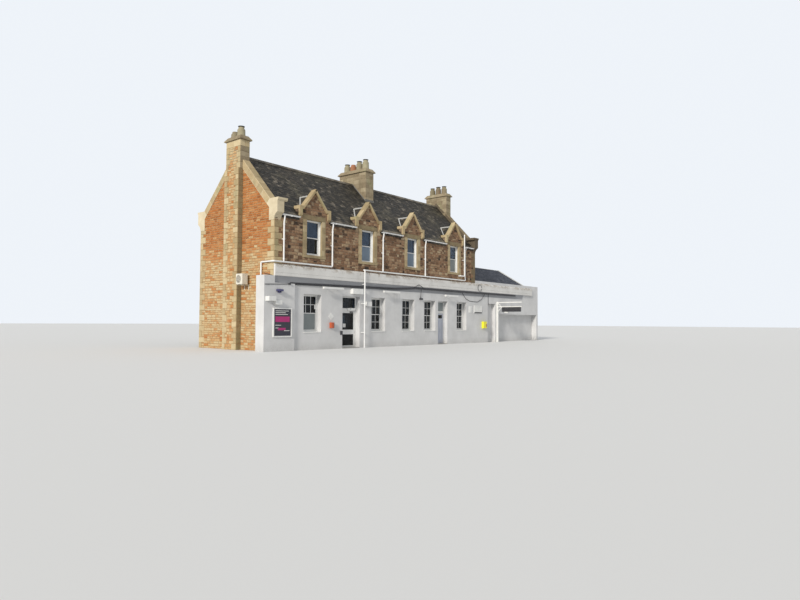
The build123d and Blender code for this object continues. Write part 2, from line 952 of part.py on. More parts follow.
def leaf_edges(doorway):
    """Left and right edges of a door leaf."""
    return doorway[0] + door_jamb + door_gap, doorway[1] - door_jamb - door_gap


def door_leaf(doorway, lights):
    """A framed leaf, cut through for its lights, and the panes in them."""
    x0, x1 = leaf_edges(doorway)
    leaf = box(x0, x1, leaf_y, leaf_back_y, leaf_foot_z, leaf_top_z)
    inside = (x0 + leaf_stile, x1 - leaf_stile)
    pane_y = leaf_y + (door_leaf_thickness - glass_thickness) / 2
    panes = []
    for low, high in lights:
        leaf -= box(*inside, leaf_y, leaf_back_y, low, high)
        panes.append(box(*inside, pane_y, pane_y + glass_thickness, low, high))
    return leaf, panes


def door_handle(doorway):
    """A steel pull bar on the closing stile."""
    x = leaf_edges(doorway)[0] + leaf_stile / 2
    low, high = handle_height - handle_length / 2, handle_height + handle_length / 2
    out = leaf_y - handle_reach
    route = [(x, leaf_y, low), (x, out, low), (x, out, high), (x, leaf_y, high)]
    return rod(route, handle_radius, handle_bend, handle_sides)


def whole_frame(doorway):
    """A door's fixed frame with the fixed half of its hinges."""
    frame = door_frame(doorway)
    for knuckle in hinges(doorway)[0]:
        frame += knuckle
    return frame


def hall_door_leaf():
    """White glazed leaf with a deep middle rail, and its panes."""
    lower = (leaf_foot_z + leaf_rail, hall_mid_rail_z)
    upper = (hall_mid_rail_z + hall_mid_rail, leaf_top_z - leaf_rail)
    leaf, panes = door_leaf(hall_doorway, (lower, upper))
    for knuckle in hinges(hall_doorway)[1]:
        leaf += knuckle
    return leaf, panes


def side_door_leaf():
    """Painted leaf with four sunk panels under its small glazed light, and its pane."""
    leaf, panes = door_leaf(side_doorway, ((side_light_z, leaf_top_z - leaf_rail),))
    for knuckle in hinges(side_doorway)[1]:
        leaf += knuckle
    x0, x1 = leaf_edges(side_doorway)
    middle = (x0 + x1) / 2
    lower = (leaf_foot_z + 2 * leaf_rail, side_lock_rail_z)
    upper = (side_lock_rail_z + side_lock_rail, side_panel_top_z)
    half = side_muntin / 2
    for low, high in (lower, upper):
        for edges in ((x0 + leaf_stile, middle - half), (middle + half, x1 - leaf_stile)):
            leaf -= box(*edges, leaf_y, leaf_y + panel_sink, low, high)
    return leaf, panes


def wing_front_wall():
    """Painted front wall of the wing, round its blind doorway and its long recess."""
    part = box(half_length, wing_end_x, front_y, front_y + wall, 0, head_z)
    part -= window_gap(*blind_door, 0, head_z)
    return part - window_gap(*recess, 0, recess_head_z)


def wing_infill():
    """Thin walls that close the blind doorway and the long recess."""
    back = front_y + wall
    return [
        box(*blind_door, front_y + blind_door_reveal, back, 0, head_z),
        box(*recess, front_y + recess_reveal, back, 0, recess_head_z),
    ]


def wing_end_wall():
    """End wall of the wing."""
    return box(wing_end_x - wall, wing_end_x, front_y + wall, wing_back_y, 0, wing_wall_head_z)


def wing_rear_wall():
    """Rear wall of the wing with two windows."""
    part = box(half_length, wing_end_x - wall, wing_back_y - wall, wing_back_y, 0, wing_wall_head_z)
    half = upper_window_width / 2
    for x in wing_window_xs:
        part -= box(x - half, x + half, wing_back_y - 2 * wall, wing_back_y + wall, sill_z, head_z)
    return part


def hipped(ridge):
    """A hipped block over the wing, from the house gable to its free end."""
    eaves = wing_wall_head_z
    y0, y1 = front_y + wall, wing_back_y + eaves_overhang
    x_end = wing_end_x + eaves_overhang
    ridge_end_x = wing_end_x - wing_hip_run
    part = along_x([(y0, eaves), ((y0 + y1) / 2, ridge), (y1, eaves)], half_length, x_end)
    hip = [
        (x_end, eaves),
        (ridge_end_x, ridge),
        (ridge_end_x, 2 * ridge),
        (2 * x_end, 2 * ridge),
        (2 * x_end, eaves),
    ]
    return part - along_y(hip, y0 - wall, y1 + wall)


def wing_roof():
    """Slated roof of the wing, hipped at its free end and cut round the breast."""
    width = wing_depth - wall + eaves_overhang
    drop = wing_roof_thickness * math.hypot(1, 2 * wing_roof_rise / width)
    return hipped(wing_ridge_z) - hipped(wing_ridge_z - drop) - breast(right_breast_length, 1)


def framed_board(x0, width, z0, height, back_y, depth, rim, sink):
    """A flat board with a raised rim, fixed on a wall's face."""
    face = back_y - depth
    part = box(x0, x0 + width, face, back_y, z0, z0 + height)
    return part - box(x0 + rim, x0 + width - rim, face, face + sink, z0 + rim, z0 + height - rim)


def poster_frame():
    """Framed board on the end pier."""
    x0 = -half_length - pier_width + poster_inset
    place = (x0, poster_width, poster_z, poster_height)
    return framed_board(*place, front_y - pier_projection, poster_depth, poster_rim, poster_sink)


def notice_board():
    """Framed notice at the right corner of the house, running on over the wing's wall."""
    x0 = half_length - notice_inset
    place = (x0, notice_width, notice_z, notice_height)
    return framed_board(*place, front_y, notice_depth, notice_rim, notice_sink)


def yellow_box():
    """Small yellow cabinet beside the blind doorway."""
    x0 = blind_door[0] - help_point_offset
    top = help_point_z + help_point_height
    return box(x0, x0 + help_point_width, front_y - help_point_depth, front_y, help_point_z, top)


def long_lamp(x):
    """One long lamp on two wall arms."""
    y = front_y - wall_light_reach
    half = wall_light_width / 2
    top = wall_light_z + wall_light_height
    part = box(x - wall_light_length / 2, x + wall_light_length / 2, y - half, y + half, wall_light_z, top)
    for arm_x in (x - wall_light_length / 4, x + wall_light_length / 4):
        part += box(arm_x, arm_x + wall_light_arm, y, front_y, top - wall_light_arm, top)
    return part


def wall_lights():
    """Long lamps on brackets under the cornice, and a box lamp over the hall door."""
    first = window_a[1] + first_light_offset
    second = window_b[1] + second_light_offset
    third = side_doorway[1] + third_light_offset
    parts = [long_lamp(x) for x in (first, second, third)]
    top = door_light_z + door_light_height
    x1 = hall_doorway[1] + door_jamb
    parts.append(box(x1 - door_light_width, x1, front_y - door_light_depth, front_y, door_light_z, top))
    return parts


post_x = (blind_door[1] + recess[0]) / 2


def board_bracket():
    """Post against the wall with two braced arms that reach over the platform."""
    face = front_y - post_size
    half = post_size / 2
    part = box(post_x - half, post_x + half, face, front_y, 0, post_top_z)
    half = arm_size / 2
    for z in (lower_arm_z, upper_arm_z):
        part += box(post_x - half, post_x + half, front_y - arm_reach, face, z, z + arm_size)
    half = brace_size / 2
    thick = math.hypot(brace_size, brace_size)
    for reach, side in ((upper_arm_z - lower_arm_z, 1), (board_height, -1)):
        near = face - reach
        wall_z = lower_arm_z + side * reach
        outline = [
            (near, lower_arm_z),
            (near + thick, lower_arm_z),
            (face, wall_z - side * thick),
            (face, wall_z),
        ]
        part += along_x(outline, post_x - half, post_x + half)
    return part


def train_board():
    """Two-sided display hung under the bracket's lower arm."""
    half = board_thickness / 2
    y1 = front_y - board_setback
    return box(post_x - half, post_x + half, y1 - board_length, y1, lower_arm_z - board_height, lower_arm_z)


ground_frames, ground_panes = all_ground_windows()
upper_frames, upper_panes = all_upper_windows()
hall_leaf, hall_panes = hall_door_leaf()
side_leaf, side_panes = side_door_leaf()

nodes = {
    "ground_floor": ground_floor(),
    "first_floor": first_floor(),
    "end_pier": end_pier(),
    "front_wall_left": front_wall(-inner_x, hall_doorway[0], [window_a]),
    "front_wall_middle": front_wall(hall_doorway[1], side_doorway[0], [window_b, window_c, window_d]),
    "front_wall_right": front_wall(side_doorway[1], half_length, [window_e]),
    "front_wall_head": front_wall_head(),
    "cornice": cornice(),
    "upper_front_wall": upper_front_wall(),
    "rear_wall": rear_wall(),
    "left_gable_wall": left_gable_wall(),
    "right_gable_wall": right_gable_wall(),
    "window_margins": window_margins(),
    "dormer_copings": dormer_copings(),
    "gable_skews": gable_skews(),
    "chimney_breast": chimney_breasts(),
    "left_chimney": left_chimney(),
    "middle_chimney": middle_chimney(),
    "right_chimney": right_chimney(),
    "chimney_pots": chimney_pots(),
    "chimney_cowls": chimney_cowls(),
    "main_roof": main_roof(),
    "ridge_tiles": ridge_tiles(),
    "dormer_roofs": dormer_roofs(),
    "gutters": gutters(),
    "rainwater_pipes": rainwater_pipes(),
    "ground_windows": ground_frames,
    "ground_glass": [*ground_panes, fanlight(hall_doorway), fanlight(side_doorway)],
    "upper_windows": upper_frames,
    "upper_glass": upper_panes,
    "hall_door_frame": whole_frame(hall_doorway),
    "hall_door_leaf": hall_leaf,
    "hall_door_glass": hall_panes,
    "hall_door_handle": door_handle(hall_doorway),
    "side_door_frame": whole_frame(side_doorway),
    "side_door_leaf": side_leaf,
    "side_door_glass": side_panes,
    "side_door_handle": door_handle(side_doorway),
    "wing_front_wall": wing_front_wall(),
    "wing_infill": wing_infill(),
    "wing_end_wall": wing_end_wall(),
    "wing_rear_wall": wing_rear_wall(),
    "wing_roof": wing_roof(),
    "poster_frame": poster_frame(),
    "notice_board": notice_board(),
    "yellow_box": yellow_box(),
    "wall_lights": wall_lights(),
    "board_bracket": board_bracket(),
    "train_board": train_board(),
}

os.makedirs("parts", exist_ok=True)
for name, shape in nodes.items():
    pieces = shape if isinstance(shape, list) else [shape]
    solids = [solid for piece in pieces for solid in piece.solids()]
    export_step(Compound(children=solids), f"parts/{name}.step")
print("nodes", len(nodes))
print("hinge lines", hinge_axis(hall_doorway), hinge_axis(side_doorway), hinge_y)
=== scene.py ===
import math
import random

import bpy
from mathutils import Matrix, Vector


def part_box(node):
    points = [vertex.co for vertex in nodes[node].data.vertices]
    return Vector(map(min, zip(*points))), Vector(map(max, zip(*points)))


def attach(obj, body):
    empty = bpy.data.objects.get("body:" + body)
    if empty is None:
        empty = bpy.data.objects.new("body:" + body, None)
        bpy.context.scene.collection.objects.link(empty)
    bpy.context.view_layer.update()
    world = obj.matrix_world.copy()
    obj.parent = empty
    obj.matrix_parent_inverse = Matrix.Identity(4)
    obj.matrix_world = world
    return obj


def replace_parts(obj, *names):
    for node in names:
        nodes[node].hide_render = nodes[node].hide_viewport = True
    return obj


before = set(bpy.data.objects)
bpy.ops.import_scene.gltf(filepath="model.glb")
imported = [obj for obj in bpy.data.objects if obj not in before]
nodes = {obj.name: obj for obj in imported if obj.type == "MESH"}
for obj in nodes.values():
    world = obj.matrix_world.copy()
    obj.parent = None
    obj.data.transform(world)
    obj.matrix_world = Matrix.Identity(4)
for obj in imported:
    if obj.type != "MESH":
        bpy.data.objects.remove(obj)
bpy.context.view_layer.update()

# %% [markdown]
# # A stone railway station, dressed in Blender
# The solids come from the construction model: walls, roofs, stacks, windows and two doors that swing.
# Every step below adds one thing that a visitor would see: stones, slates, paint, lamps, stains.
# Everything is in metres, in the same frame as the construction model, so nothing has to be fitted.

# %% [markdown]
# ## Sizes that the pieces share
# A mason starts from the corners of the building. They could be typed in again, but then they would
# part from the solids as soon as one of those moved.

# %% Corners of the house and the wing
house_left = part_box("left_gable_wall")[0].x
house_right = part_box("right_gable_wall")[1].x
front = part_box("front_wall_left")[0].y
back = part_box("rear_wall")[1].y
band_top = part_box("upper_front_wall")[0].z
fascia_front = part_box("cornice")[0].y
ridge_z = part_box("main_roof")[1].z
wing_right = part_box("wing_end_wall")[1].x
wing_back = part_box("wing_rear_wall")[1].y
wing_wall_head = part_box("wing_end_wall")[1].z
corbel_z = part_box("gable_skews")[0].z
pier_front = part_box("end_pier")[0].y
eaves_z, cavetto_top = 7.2, 3.86
wall, skew_width, roof_thickness = 0.6, 0.41, 0.15
roof_slope = (ridge_z - eaves_z) / -front
slope_length = math.hypot(1, roof_slope)
roof_drop = roof_thickness * slope_length
print("house from", round(house_left, 2), "to", round(house_right, 2), "ridge", round(ridge_z, 2))

# %% Stacks and the breasts that carry them
stack_cap = 0.25
stack_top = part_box("left_chimney")[1].z - stack_cap
left_breast, right_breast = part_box("chimney_breast")[0].x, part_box("chimney_breast")[1].x
breast_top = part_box("chimney_breast")[1].z
left_breast_half, right_breast_half = 0.63, 0.95
print("stacks end at", round(stack_top, 2))

# %% Windows and doorways
dormer_xs = (-6.77, -2.45, 1.87, 6.73)
window_half, margin = 0.54, 0.29
margin_half = window_half + margin
upper_sill, upper_head = 5.12, 7.04
lower_sill, lower_head = 0.97, 3.0
sill_stone, lintel = 0.15, 0.25
ground_windows = ((-7.47, -6.2), (-2.105, -0.835), (0.83, 2.1), (3.18, 4.45), (7.06, 8.33))
hall_doorway, side_doorway = (-4.555, -3.125), (4.76, 5.885)
wing_windows = (12.2, 16.4)
print("dormers", len(dormer_xs), "front windows", len(ground_windows))

# %% Gablets, copings and roofs of the dormers
coping_front, coping_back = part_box("dormer_copings")[0].y, front + 0.23
coping_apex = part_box("dormer_copings")[1].z
coping_half, coping_rise, coping_thickness = 0.85, 1.035, 0.11
coping_pitch = coping_rise / coping_half
gablet_half, gablet_foot = 1.105, 7.54
gablet_apex = coping_apex - coping_thickness * math.hypot(1, coping_pitch)
gablet_foot_half = (gablet_apex - gablet_foot) / coping_pitch
kneeler_back, kneeler_tip = coping_front + 0.5, 1.14
dormer_ridge = coping_apex - 0.32
dormer_roof_half = (dormer_ridge - eaves_z) / coping_pitch
print("a gablet ends at", round(gablet_apex, 2))

# %% [markdown]
# ## A heap of small things
# A wall has hundreds of stones and a roof has thousands of slates. One object each would be slow,
# so a heap collects points and faces and becomes a single mesh. Each thing also gets a `tint`,
# a number from 0 to 1 that is the same all over it, which the material turns into its own shade.


# %% The heap
class Heap:
    """Points, faces and one tint a face, for one joined mesh."""

    def __init__(self):
        self.points = []
        self.faces = []
        self.tints = []

    def add(self, points, faces, tint):
        """Takes in one thing, whose faces count its own points from 0."""
        start = len(self.points)
        self.points += [tuple(p) for p in points]
        self.faces += [tuple(start + i for i in face) for face in faces]
        self.tints += [tint] * len(faces)

    def piece(self, name, material, slot, body="building", smooth=False):
        """Turns the heap into a mesh that rides on a body and takes a material; the slot is not used."""
        mesh = bpy.data.meshes.new(name)
        mesh.from_pydata(self.points, [], self.faces)
        layer = mesh.attributes.new("tint", "FLOAT", "FACE")
        layer.data.foreach_set("value", self.tints)
        mesh.polygons.foreach_set("use_smooth", [smooth] * len(mesh.polygons))
        mesh.materials.append(material)
        mesh.update()
        piece = bpy.data.objects.new(name, mesh)
        bpy.context.scene.collection.objects.link(piece)
        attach(piece, body)
        triangles = sum(len(face) - 2 for face in self.faces)
        print(name, "faces", len(self.faces), "triangles", triangles)
        return piece


# %% A block with its edges taken off
sides = (0, 1)
corners = [(i, j, k) for i in sides for j in sides for k in sides]
round_a_face = ((0, 0), (1, 0), (1, 1), (0, 1))


def corner_at(axis, side, j, k):
    """The corner on one side of an axis, at j and k on the next two axes."""
    corner = [0, 0, 0]
    corner[axis], corner[(axis + 1) % 3], corner[(axis + 2) % 3] = side, j, k
    return tuple(corner)


def block(heap, x0, x1, y0, y1, z0, z1, chamfer, tint=0.5):
    """A box with chamfered edges: three points at each corner, one on each of its faces."""
    low, high = zip(*(sorted(pair) for pair in ((x0, x1), (y0, y1), (z0, z1))))
    points, index = [], {}
    for corner in corners:
        at = [high[a] if corner[a] else low[a] for a in range(3)]
        inward = [-chamfer if corner[a] else chamfer for a in range(3)]
        for axis in range(3):
            point = [at[a] + (0 if a == axis else inward[a]) for a in range(3)]
            index[corner, axis] = len(points)
            points.append(point)
    faces = []
    for axis in range(3):
        b, c = (axis + 1) % 3, (axis + 2) % 3
        for side in sides:
            ring = [index[corner_at(axis, side, j, k), axis] for j, k in round_a_face]
            faces.append(ring if side else ring[::-1])
        for j, k in round_a_face:
            near, far = corner_at(axis, 0, j, k), corner_at(axis, 1, j, k)
            ring = [index[near, b], index[far, b], index[far, c], index[near, c]]
            faces.append(ring if j == k else ring[::-1])
    for corner in corners:
        ring = [index[corner, a] for a in range(3)]
        faces.append(ring if sum(corner) % 2 else ring[::-1])
    heap.add(points, faces, tint)


trial = Heap()
block(trial, 0, 1, 0, 1, 0, 1, 0.1)
print("a chamfered block has", len(trial.points), "points and", len(trial.faces), "faces")


# %% Round things: a ring of points for each step of a profile
def circle(count):
    """The angles of evenly spaced points on a full circle."""
    return [2 * math.pi * i / count for i in range(count)]


def join_rings(heap, rings, tint=0.5, closed=False):
    """Faces between rings of points, with a flat end on the first and the last."""
    n = len(rings[0])
    faces = []
    for k in range(len(rings) if closed else len(rings) - 1):
        a, b = k * n, (k + 1) % len(rings) * n
        faces += [(a + i, a + (i + 1) % n, b + (i + 1) % n, b + i) for i in range(n)]
    if not closed:
        last = (len(rings) - 1) * n
        faces += [tuple(range(n))[::-1], tuple(range(last, last + n))]
    heap.add([p for ring in rings for p in ring], faces, tint)


def lathe(heap, profile, x, y, tint=0.5, closed=False, steps=24):
    """A profile of (radius, height) points turned about an upright line."""
    turns = circle(steps)
    rings = [[(x + r * math.cos(t), y + r * math.sin(t), z) for t in turns] for r, z in profile]
    join_rings(heap, rings, tint, closed)


trial = Heap()
lathe(trial, [(0.1, 0), (0.2, 0), (0.2, 0.3), (0.1, 0.3)], 0, 0)
print("a turned ring has", len(trial.points), "points")


# %% Pipes and bars along a route
def rounded(route, bend, steps=4):
    """A route with its corners rounded off."""
    route = [Vector(p) for p in route]
    points = [route[0]]
    for before, at, after in zip(route, route[1:], route[2:]):
        start = at + (before - at).normalized() * bend
        end = at + (after - at).normalized() * bend
        for i in range(steps + 1):
            t = i / steps
            points.append(start * (1 - t) ** 2 + at * (2 * t * (1 - t)) + end * t ** 2)
    return points + [route[-1]]


def tube(heap, route, radius, sides=8):
    """A round pipe, bar or cable along a route."""
    route = [Vector(p) for p in route]
    runs = [(b - a).normalized() for a, b in zip(route, route[1:])]
    across = runs[0].orthogonal().normalized()
    turns = circle(sides)
    rings = []
    for i, point in enumerate(route):
        ahead = (runs[max(0, i - 1)] + runs[min(i, len(runs) - 1)]).normalized()
        across = (across - ahead * across.dot(ahead)).normalized()
        beside = ahead.cross(across)
        rings.append([point + (across * math.cos(t) + beside * math.sin(t)) * radius for t in turns])
    join_rings(heap, rings)


trial = Heap()
tube(trial, rounded([(0, 0, 0), (0, 0, 1), (1, 0, 1)], 0.1), 0.05)
print("a bent tube has", len(trial.points), "points")

# %% [markdown]
# ## The camera
# The picture was taken from the platform, a little left of the building and at eye height.
# Yaw, pitch and roll are turned into the three axes of the camera, and the lens comes from the
# angle that the building fills, so that the render can be laid over the photograph.

# %% Camera at the photograph's viewing angle
camera_place = Vector((-28.698, -27.487, 1.517))
yaw, pitch, roll = math.radians(39.473), math.radians(2.145), math.radians(0.302)
forward = Vector((math.cos(pitch) * math.cos(yaw), math.cos(pitch) * math.sin(yaw), math.sin(pitch)))
level = Vector((math.sin(yaw), -math.cos(yaw), 0))
upward = level.cross(forward)
right_axis = level * math.cos(roll) + upward * math.sin(roll)
up_axis = upward * math.cos(roll) - level * math.sin(roll)
lens_data = bpy.data.cameras.new("platform_camera")
lens_data.lens = 26.76
lens_data.sensor_width = 36
camera = bpy.data.objects.new("platform_camera", lens_data)
turn = Matrix((right_axis, up_axis, -forward)).transposed()
camera.matrix_world = Matrix.Translation(camera_place) @ turn.to_4x4()
bpy.context.scene.collection.objects.link(camera)
bpy.context.scene.camera = camera
bpy.context.scene.view_settings.view_transform = "Standard"
print("lens", lens_data.lens, "mm at", tuple(round(c, 2) for c in camera_place))

# %% [markdown]
# ## Light and floor
# A bright, even sky gives most of the light. One broad lamp from the left lets the gable read
# lighter than the front and draws the reveals. A ring of lamps could do the sky's work, but each
# would add a reflection to the panes. The floor is pale and only catches the shadow.
# Both the sky and the materials are made of nodes, so first come two helpers that save typing.


# %% Feeding a node
def feed(tree, socket, value):
    """Gives a socket another node's output, a colour or a number."""
    if isinstance(value, bpy.types.NodeSocket):
        tree.links.new(value, socket)
    elif isinstance(value, tuple) and socket.type == "RGBA":
        socket.default_value = (*value, 1)
    else:
        socket.default_value = value


def calculate(tree, kind, a, b):
    """A math node on two sockets or numbers."""
    node = tree.nodes.new("ShaderNodeMath")
    node.operation = kind
    feed(tree, node.inputs[0], a)
    feed(tree, node.inputs[1], b)
    return node.outputs[0]


print("helpers for nodes: feed, calculate")

# %% Sky: one colour that lights, and one that the camera, gloss and glass see
world = bpy.data.worlds.new("pale_sky")
bpy.context.scene.world = world
world.use_nodes = True
tree = world.node_tree
tree.nodes.clear()
rays = tree.nodes.new("ShaderNodeLightPath").outputs
gloss_or_glass = calculate(tree, "MAXIMUM", rays["Is Glossy Ray"], rays["Is Transmission Ray"])
seen = calculate(tree, "MAXIMUM", rays["Is Camera Ray"], gloss_or_glass)
choose = tree.nodes.new("ShaderNodeMixShader")
feed(tree, choose.inputs[0], seen)
skies = {1: ((0.93, 0.96, 1.0), 0.60), 2: ((0.86, 0.90, 0.95), 1.0)}
for place, (colour, strength) in skies.items():
    sky = tree.nodes.new("ShaderNodeBackground")
    feed(tree, sky.inputs["Color"], colour)
    feed(tree, sky.inputs["Strength"], strength)
    feed(tree, choose.inputs[place], sky.outputs[0])
world_out = tree.nodes.new("ShaderNodeOutputWorld")
feed(tree, world_out.inputs["Surface"], choose.outputs[0])
print("strength of the light and of the backdrop", [strength for colour, strength in skies.values()])

# %% Broad lamp from the left
lamp_data = bpy.data.lights.new("soft_key", "SUN")
lamp_data.energy = 2.9
lamp_data.angle = math.radians(9)
lamp_data.color = (1.0, 0.95, 0.87)
lamp = bpy.data.objects.new("soft_key", lamp_data)
towards_lamp = Vector((-0.90, -0.24, 0.40))
lamp.rotation_euler = towards_lamp.to_track_quat("Z", "Y").to_euler()
bpy.context.scene.collection.objects.link(lamp)
print("key lamp", lamp_data.energy)

# %% [markdown]
# ## Shader groups
# Stone, slate and paint all need the same few effects: grain, stains that run down, patches of
# lichen and a shade for each stone. Each material could have its own copy of those nodes, but then
# one change would have to be made many times. A node group is built once and placed in each
# material with its own values. The groups put out masks and heights, and the shader stays outside.


# %% Building blocks for a group
def new_group(name, inputs, outputs):
    """An empty shader group with float inputs (name, default) and float outputs."""
    group = bpy.data.node_groups.new(name, "ShaderNodeTree")
    for label, default in inputs:
        socket = group.interface.new_socket(label, in_out="INPUT", socket_type="NodeSocketFloat")
        socket.default_value = default
    for label in outputs:
        group.interface.new_socket(label, in_out="OUTPUT", socket_type="NodeSocketFloat")
    start = group.nodes.new("NodeGroupInput")
    end = group.nodes.new("NodeGroupOutput")
    return group, start.outputs, end.inputs


def place_coordinates(tree, stretch=(1, 1, 1)):
    """Object coordinates, stretched on each axis."""
    where = tree.nodes.new("ShaderNodeTexCoord")
    mapping = tree.nodes.new("ShaderNodeMapping")
    feed(tree, mapping.inputs["Scale"], stretch)
    feed(tree, mapping.inputs["Vector"], where.outputs["Object"])
    return mapping.outputs["Vector"]


print("helpers for groups: new_group, place_coordinates")


# %% Patterns and masks
def noise(tree, vector, scale, detail=5.0, roughness=0.6):
    """A noise texture; its scale may be a number or a socket."""
    texture = tree.nodes.new("ShaderNodeTexNoise")
    for label, value in (("Vector", vector), ("Scale", scale), ("Detail", detail), ("Roughness", roughness)):
        feed(tree, texture.inputs[label], value)
    return texture.outputs["Fac"]


def stretch_range(tree, value, low, high, new_low=0.0, new_high=1.0):
    """Values from low to high spread over a new range, and clamped."""
    node = tree.nodes.new("ShaderNodeMapRange")
    for label, number in (("Value", value), ("From Min", low), ("From Max", high),
                          ("To Min", new_low), ("To Max", new_high)):
        feed(tree, node.inputs[label], number)
    return node.outputs["Result"]


def patches_above(tree, pattern, amount, most, reach, soft_edge):
    """A mask of the places where a pattern is high; more of them as the amount grows."""
    edge = calculate(tree, "SUBTRACT", most, calculate(tree, "MULTIPLY", amount, reach))
    return stretch_range(tree, pattern, edge, calculate(tree, "ADD", edge, soft_edge))


print("helpers for patterns: noise, stretch_range, patches_above")

# %% Grain: coarse and fine unevenness of a mineral surface
grain_group, given, result = new_group(
    "Grain", [("Coarse Scale", 3.0), ("Fine Scale", 40.0)], ["Coarse", "Fine", "Height"])
vector = place_coordinates(grain_group)
coarse = noise(grain_group, vector, given["Coarse Scale"])
fine = noise(grain_group, vector, given["Fine Scale"], 8.0, 0.7)
height = calculate(grain_group, "ADD", coarse, calculate(grain_group, "MULTIPLY", fine, 0.6))
for label, socket in (("Coarse", coarse), ("Fine", fine), ("Height", height)):
    feed(grain_group, result[label], socket)
print("group", grain_group.name)

# %% Stains: streaks that run down a wall
stain_group, given, result = new_group(
    "Stains", [("Streak Scale", 1.6), ("Amount", 0.5)], ["Mask"])
streaks = noise(stain_group, place_coordinates(stain_group, (1, 1, 0.16)), given["Streak Scale"], 6.0, 0.65)
patches = noise(stain_group, place_coordinates(stain_group), 0.45, 3.0)
pattern = calculate(stain_group, "MULTIPLY", streaks, patches)
feed(stain_group, result["Mask"], patches_above(stain_group, pattern, given["Amount"], 0.46, 0.3, 0.16))
print("group", stain_group.name)

# %% Lichen: small rounded patches
lichen_group, given, result = new_group(
    "Lichen", [("Patch Scale", 2.0), ("Amount", 0.5)], ["Mask"])
vector = place_coordinates(lichen_group)
areas = noise(lichen_group, vector, given["Patch Scale"], 4.0)
spots = noise(lichen_group, vector, 14.0, 6.0, 0.75)
pattern = calculate(lichen_group, "ADD", areas, calculate(lichen_group, "MULTIPLY", spots, 0.8))
feed(lichen_group, result["Mask"], patches_above(lichen_group, pattern, given["Amount"], 1.16, 0.5, 0.2))
print("group", lichen_group.name)


# %% [markdown]
# ## Materials
# A material here is a short recipe: a ramp of shades that the tint picks from, one or two groups
# laid over it, and a bump from the grain. The helpers below keep each recipe to a few lines.


# %% Helpers that start a material
def new_material(name, roughness=0.85):
    """A material with its Principled shader, ready for a recipe."""
    material = bpy.data.materials.new(name)
    material.use_nodes = True
    shader = material.node_tree.nodes["Principled BSDF"]
    shader.inputs["Roughness"].default_value = roughness
    return material, material.node_tree, shader


def use_group(tree, group, **values):
    """Places a group and sets its inputs; underscores in a name stand for spaces."""
    node = tree.nodes.new("ShaderNodeGroup")
    node.node_tree = group
    for label, value in values.items():
        node.inputs[label.replace("_", " ")].default_value = value
    return node.outputs


print("helpers for a material: new_material, use_group")


# %% Helpers that make and lay over colours
def ramp(tree, value, stops):
    """A colour ramp of (place, colour) stops."""
    node = tree.nodes.new("ShaderNodeValToRGB")
    ramp_stops = node.color_ramp.elements
    while len(ramp_stops) < len(stops):
        ramp_stops.new(0.5)
    for stop, (place, colour) in zip(ramp_stops, stops):
        stop.position = place
        stop.color = (*colour, 1)
    feed(tree, node.inputs["Fac"], value)
    return node.outputs["Color"]


def blend(tree, mask, first, second, kind="MIX"):
    """Mixes two colours by a mask; colours may be sockets or written out."""
    node = tree.nodes.new("ShaderNodeMix")
    node.data_type = "RGBA"
    node.blend_type = kind
    colour_a, colour_b = node.inputs[6], node.inputs[7]
    for socket, value in ((node.inputs["Factor"], mask), (colour_a, first), (colour_b, second)):
        feed(tree, socket, value)
    return node.outputs[2]


def laid_over(tree, mask, strength, below, above):
    """A colour with another one laid over it by a mask that is held back to a strength."""
    return blend(tree, calculate(tree, "MULTIPLY", mask, strength), below, above)


print("helpers for colours: ramp, blend, laid_over")


# %% Helpers for bump, tint and place
def bump(tree, shader, height, strength, distance):
    """A bump on the shader's normal."""
    node = tree.nodes.new("ShaderNodeBump")
    node.inputs["Strength"].default_value = strength
    node.inputs["Distance"].default_value = distance
    feed(tree, node.inputs["Height"], height)
    feed(tree, shader.inputs["Normal"], node.outputs["Normal"])


def tint_of(tree, tinted=True):
    """The tint that a heap gave to each thing, or slow changes along a solid that has none."""
    if not tinted:
        return stretch_range(tree, noise(tree, place_coordinates(tree), 0.9, 2.0), 0.35, 0.65, 0.25, 0.75)
    node = tree.nodes.new("ShaderNodeAttribute")
    node.attribute_name = "tint"
    return node.outputs["Fac"]


def place_along(tree, axis):
    """Where a point is along one axis, in metres."""
    where = tree.nodes.new("ShaderNodeTexCoord")
    split = tree.nodes.new("ShaderNodeSeparateXYZ")
    feed(tree, split.inputs["Vector"], where.outputs["Object"])
    return split.outputs[axis]


print("helpers for surfaces: bump, tint_of, place_along")

# %% [markdown]
# ## Stone
# The walls are of brown and orange sandstone, and the dressed stones of a paler buff one. The orange
# of the faces that look to the left is partly painted sunlight, and the brown of the other faces is
# partly painted shade. An old stone is darker where water runs and green-grey where lichen sits, and
# no two have one shade. One colour with a noise over it would look like plaster. So each stone takes
# its shade from its tint through a ramp of that quarry's colours, grain, stains and lichen are laid
# over it, and painted shade darkens the stones at the right end.


# %% Recipe for stone
# Painted shade: the dark colour below darkens stones towards the right end of the house, from where it starts
# to where it is full.
lichen_colour, right_end_shade_colour = (0.30, 0.30, 0.16), (0.085, 0.065, 0.045)
right_shade_starts, right_shade_full = 7.8, 8.5


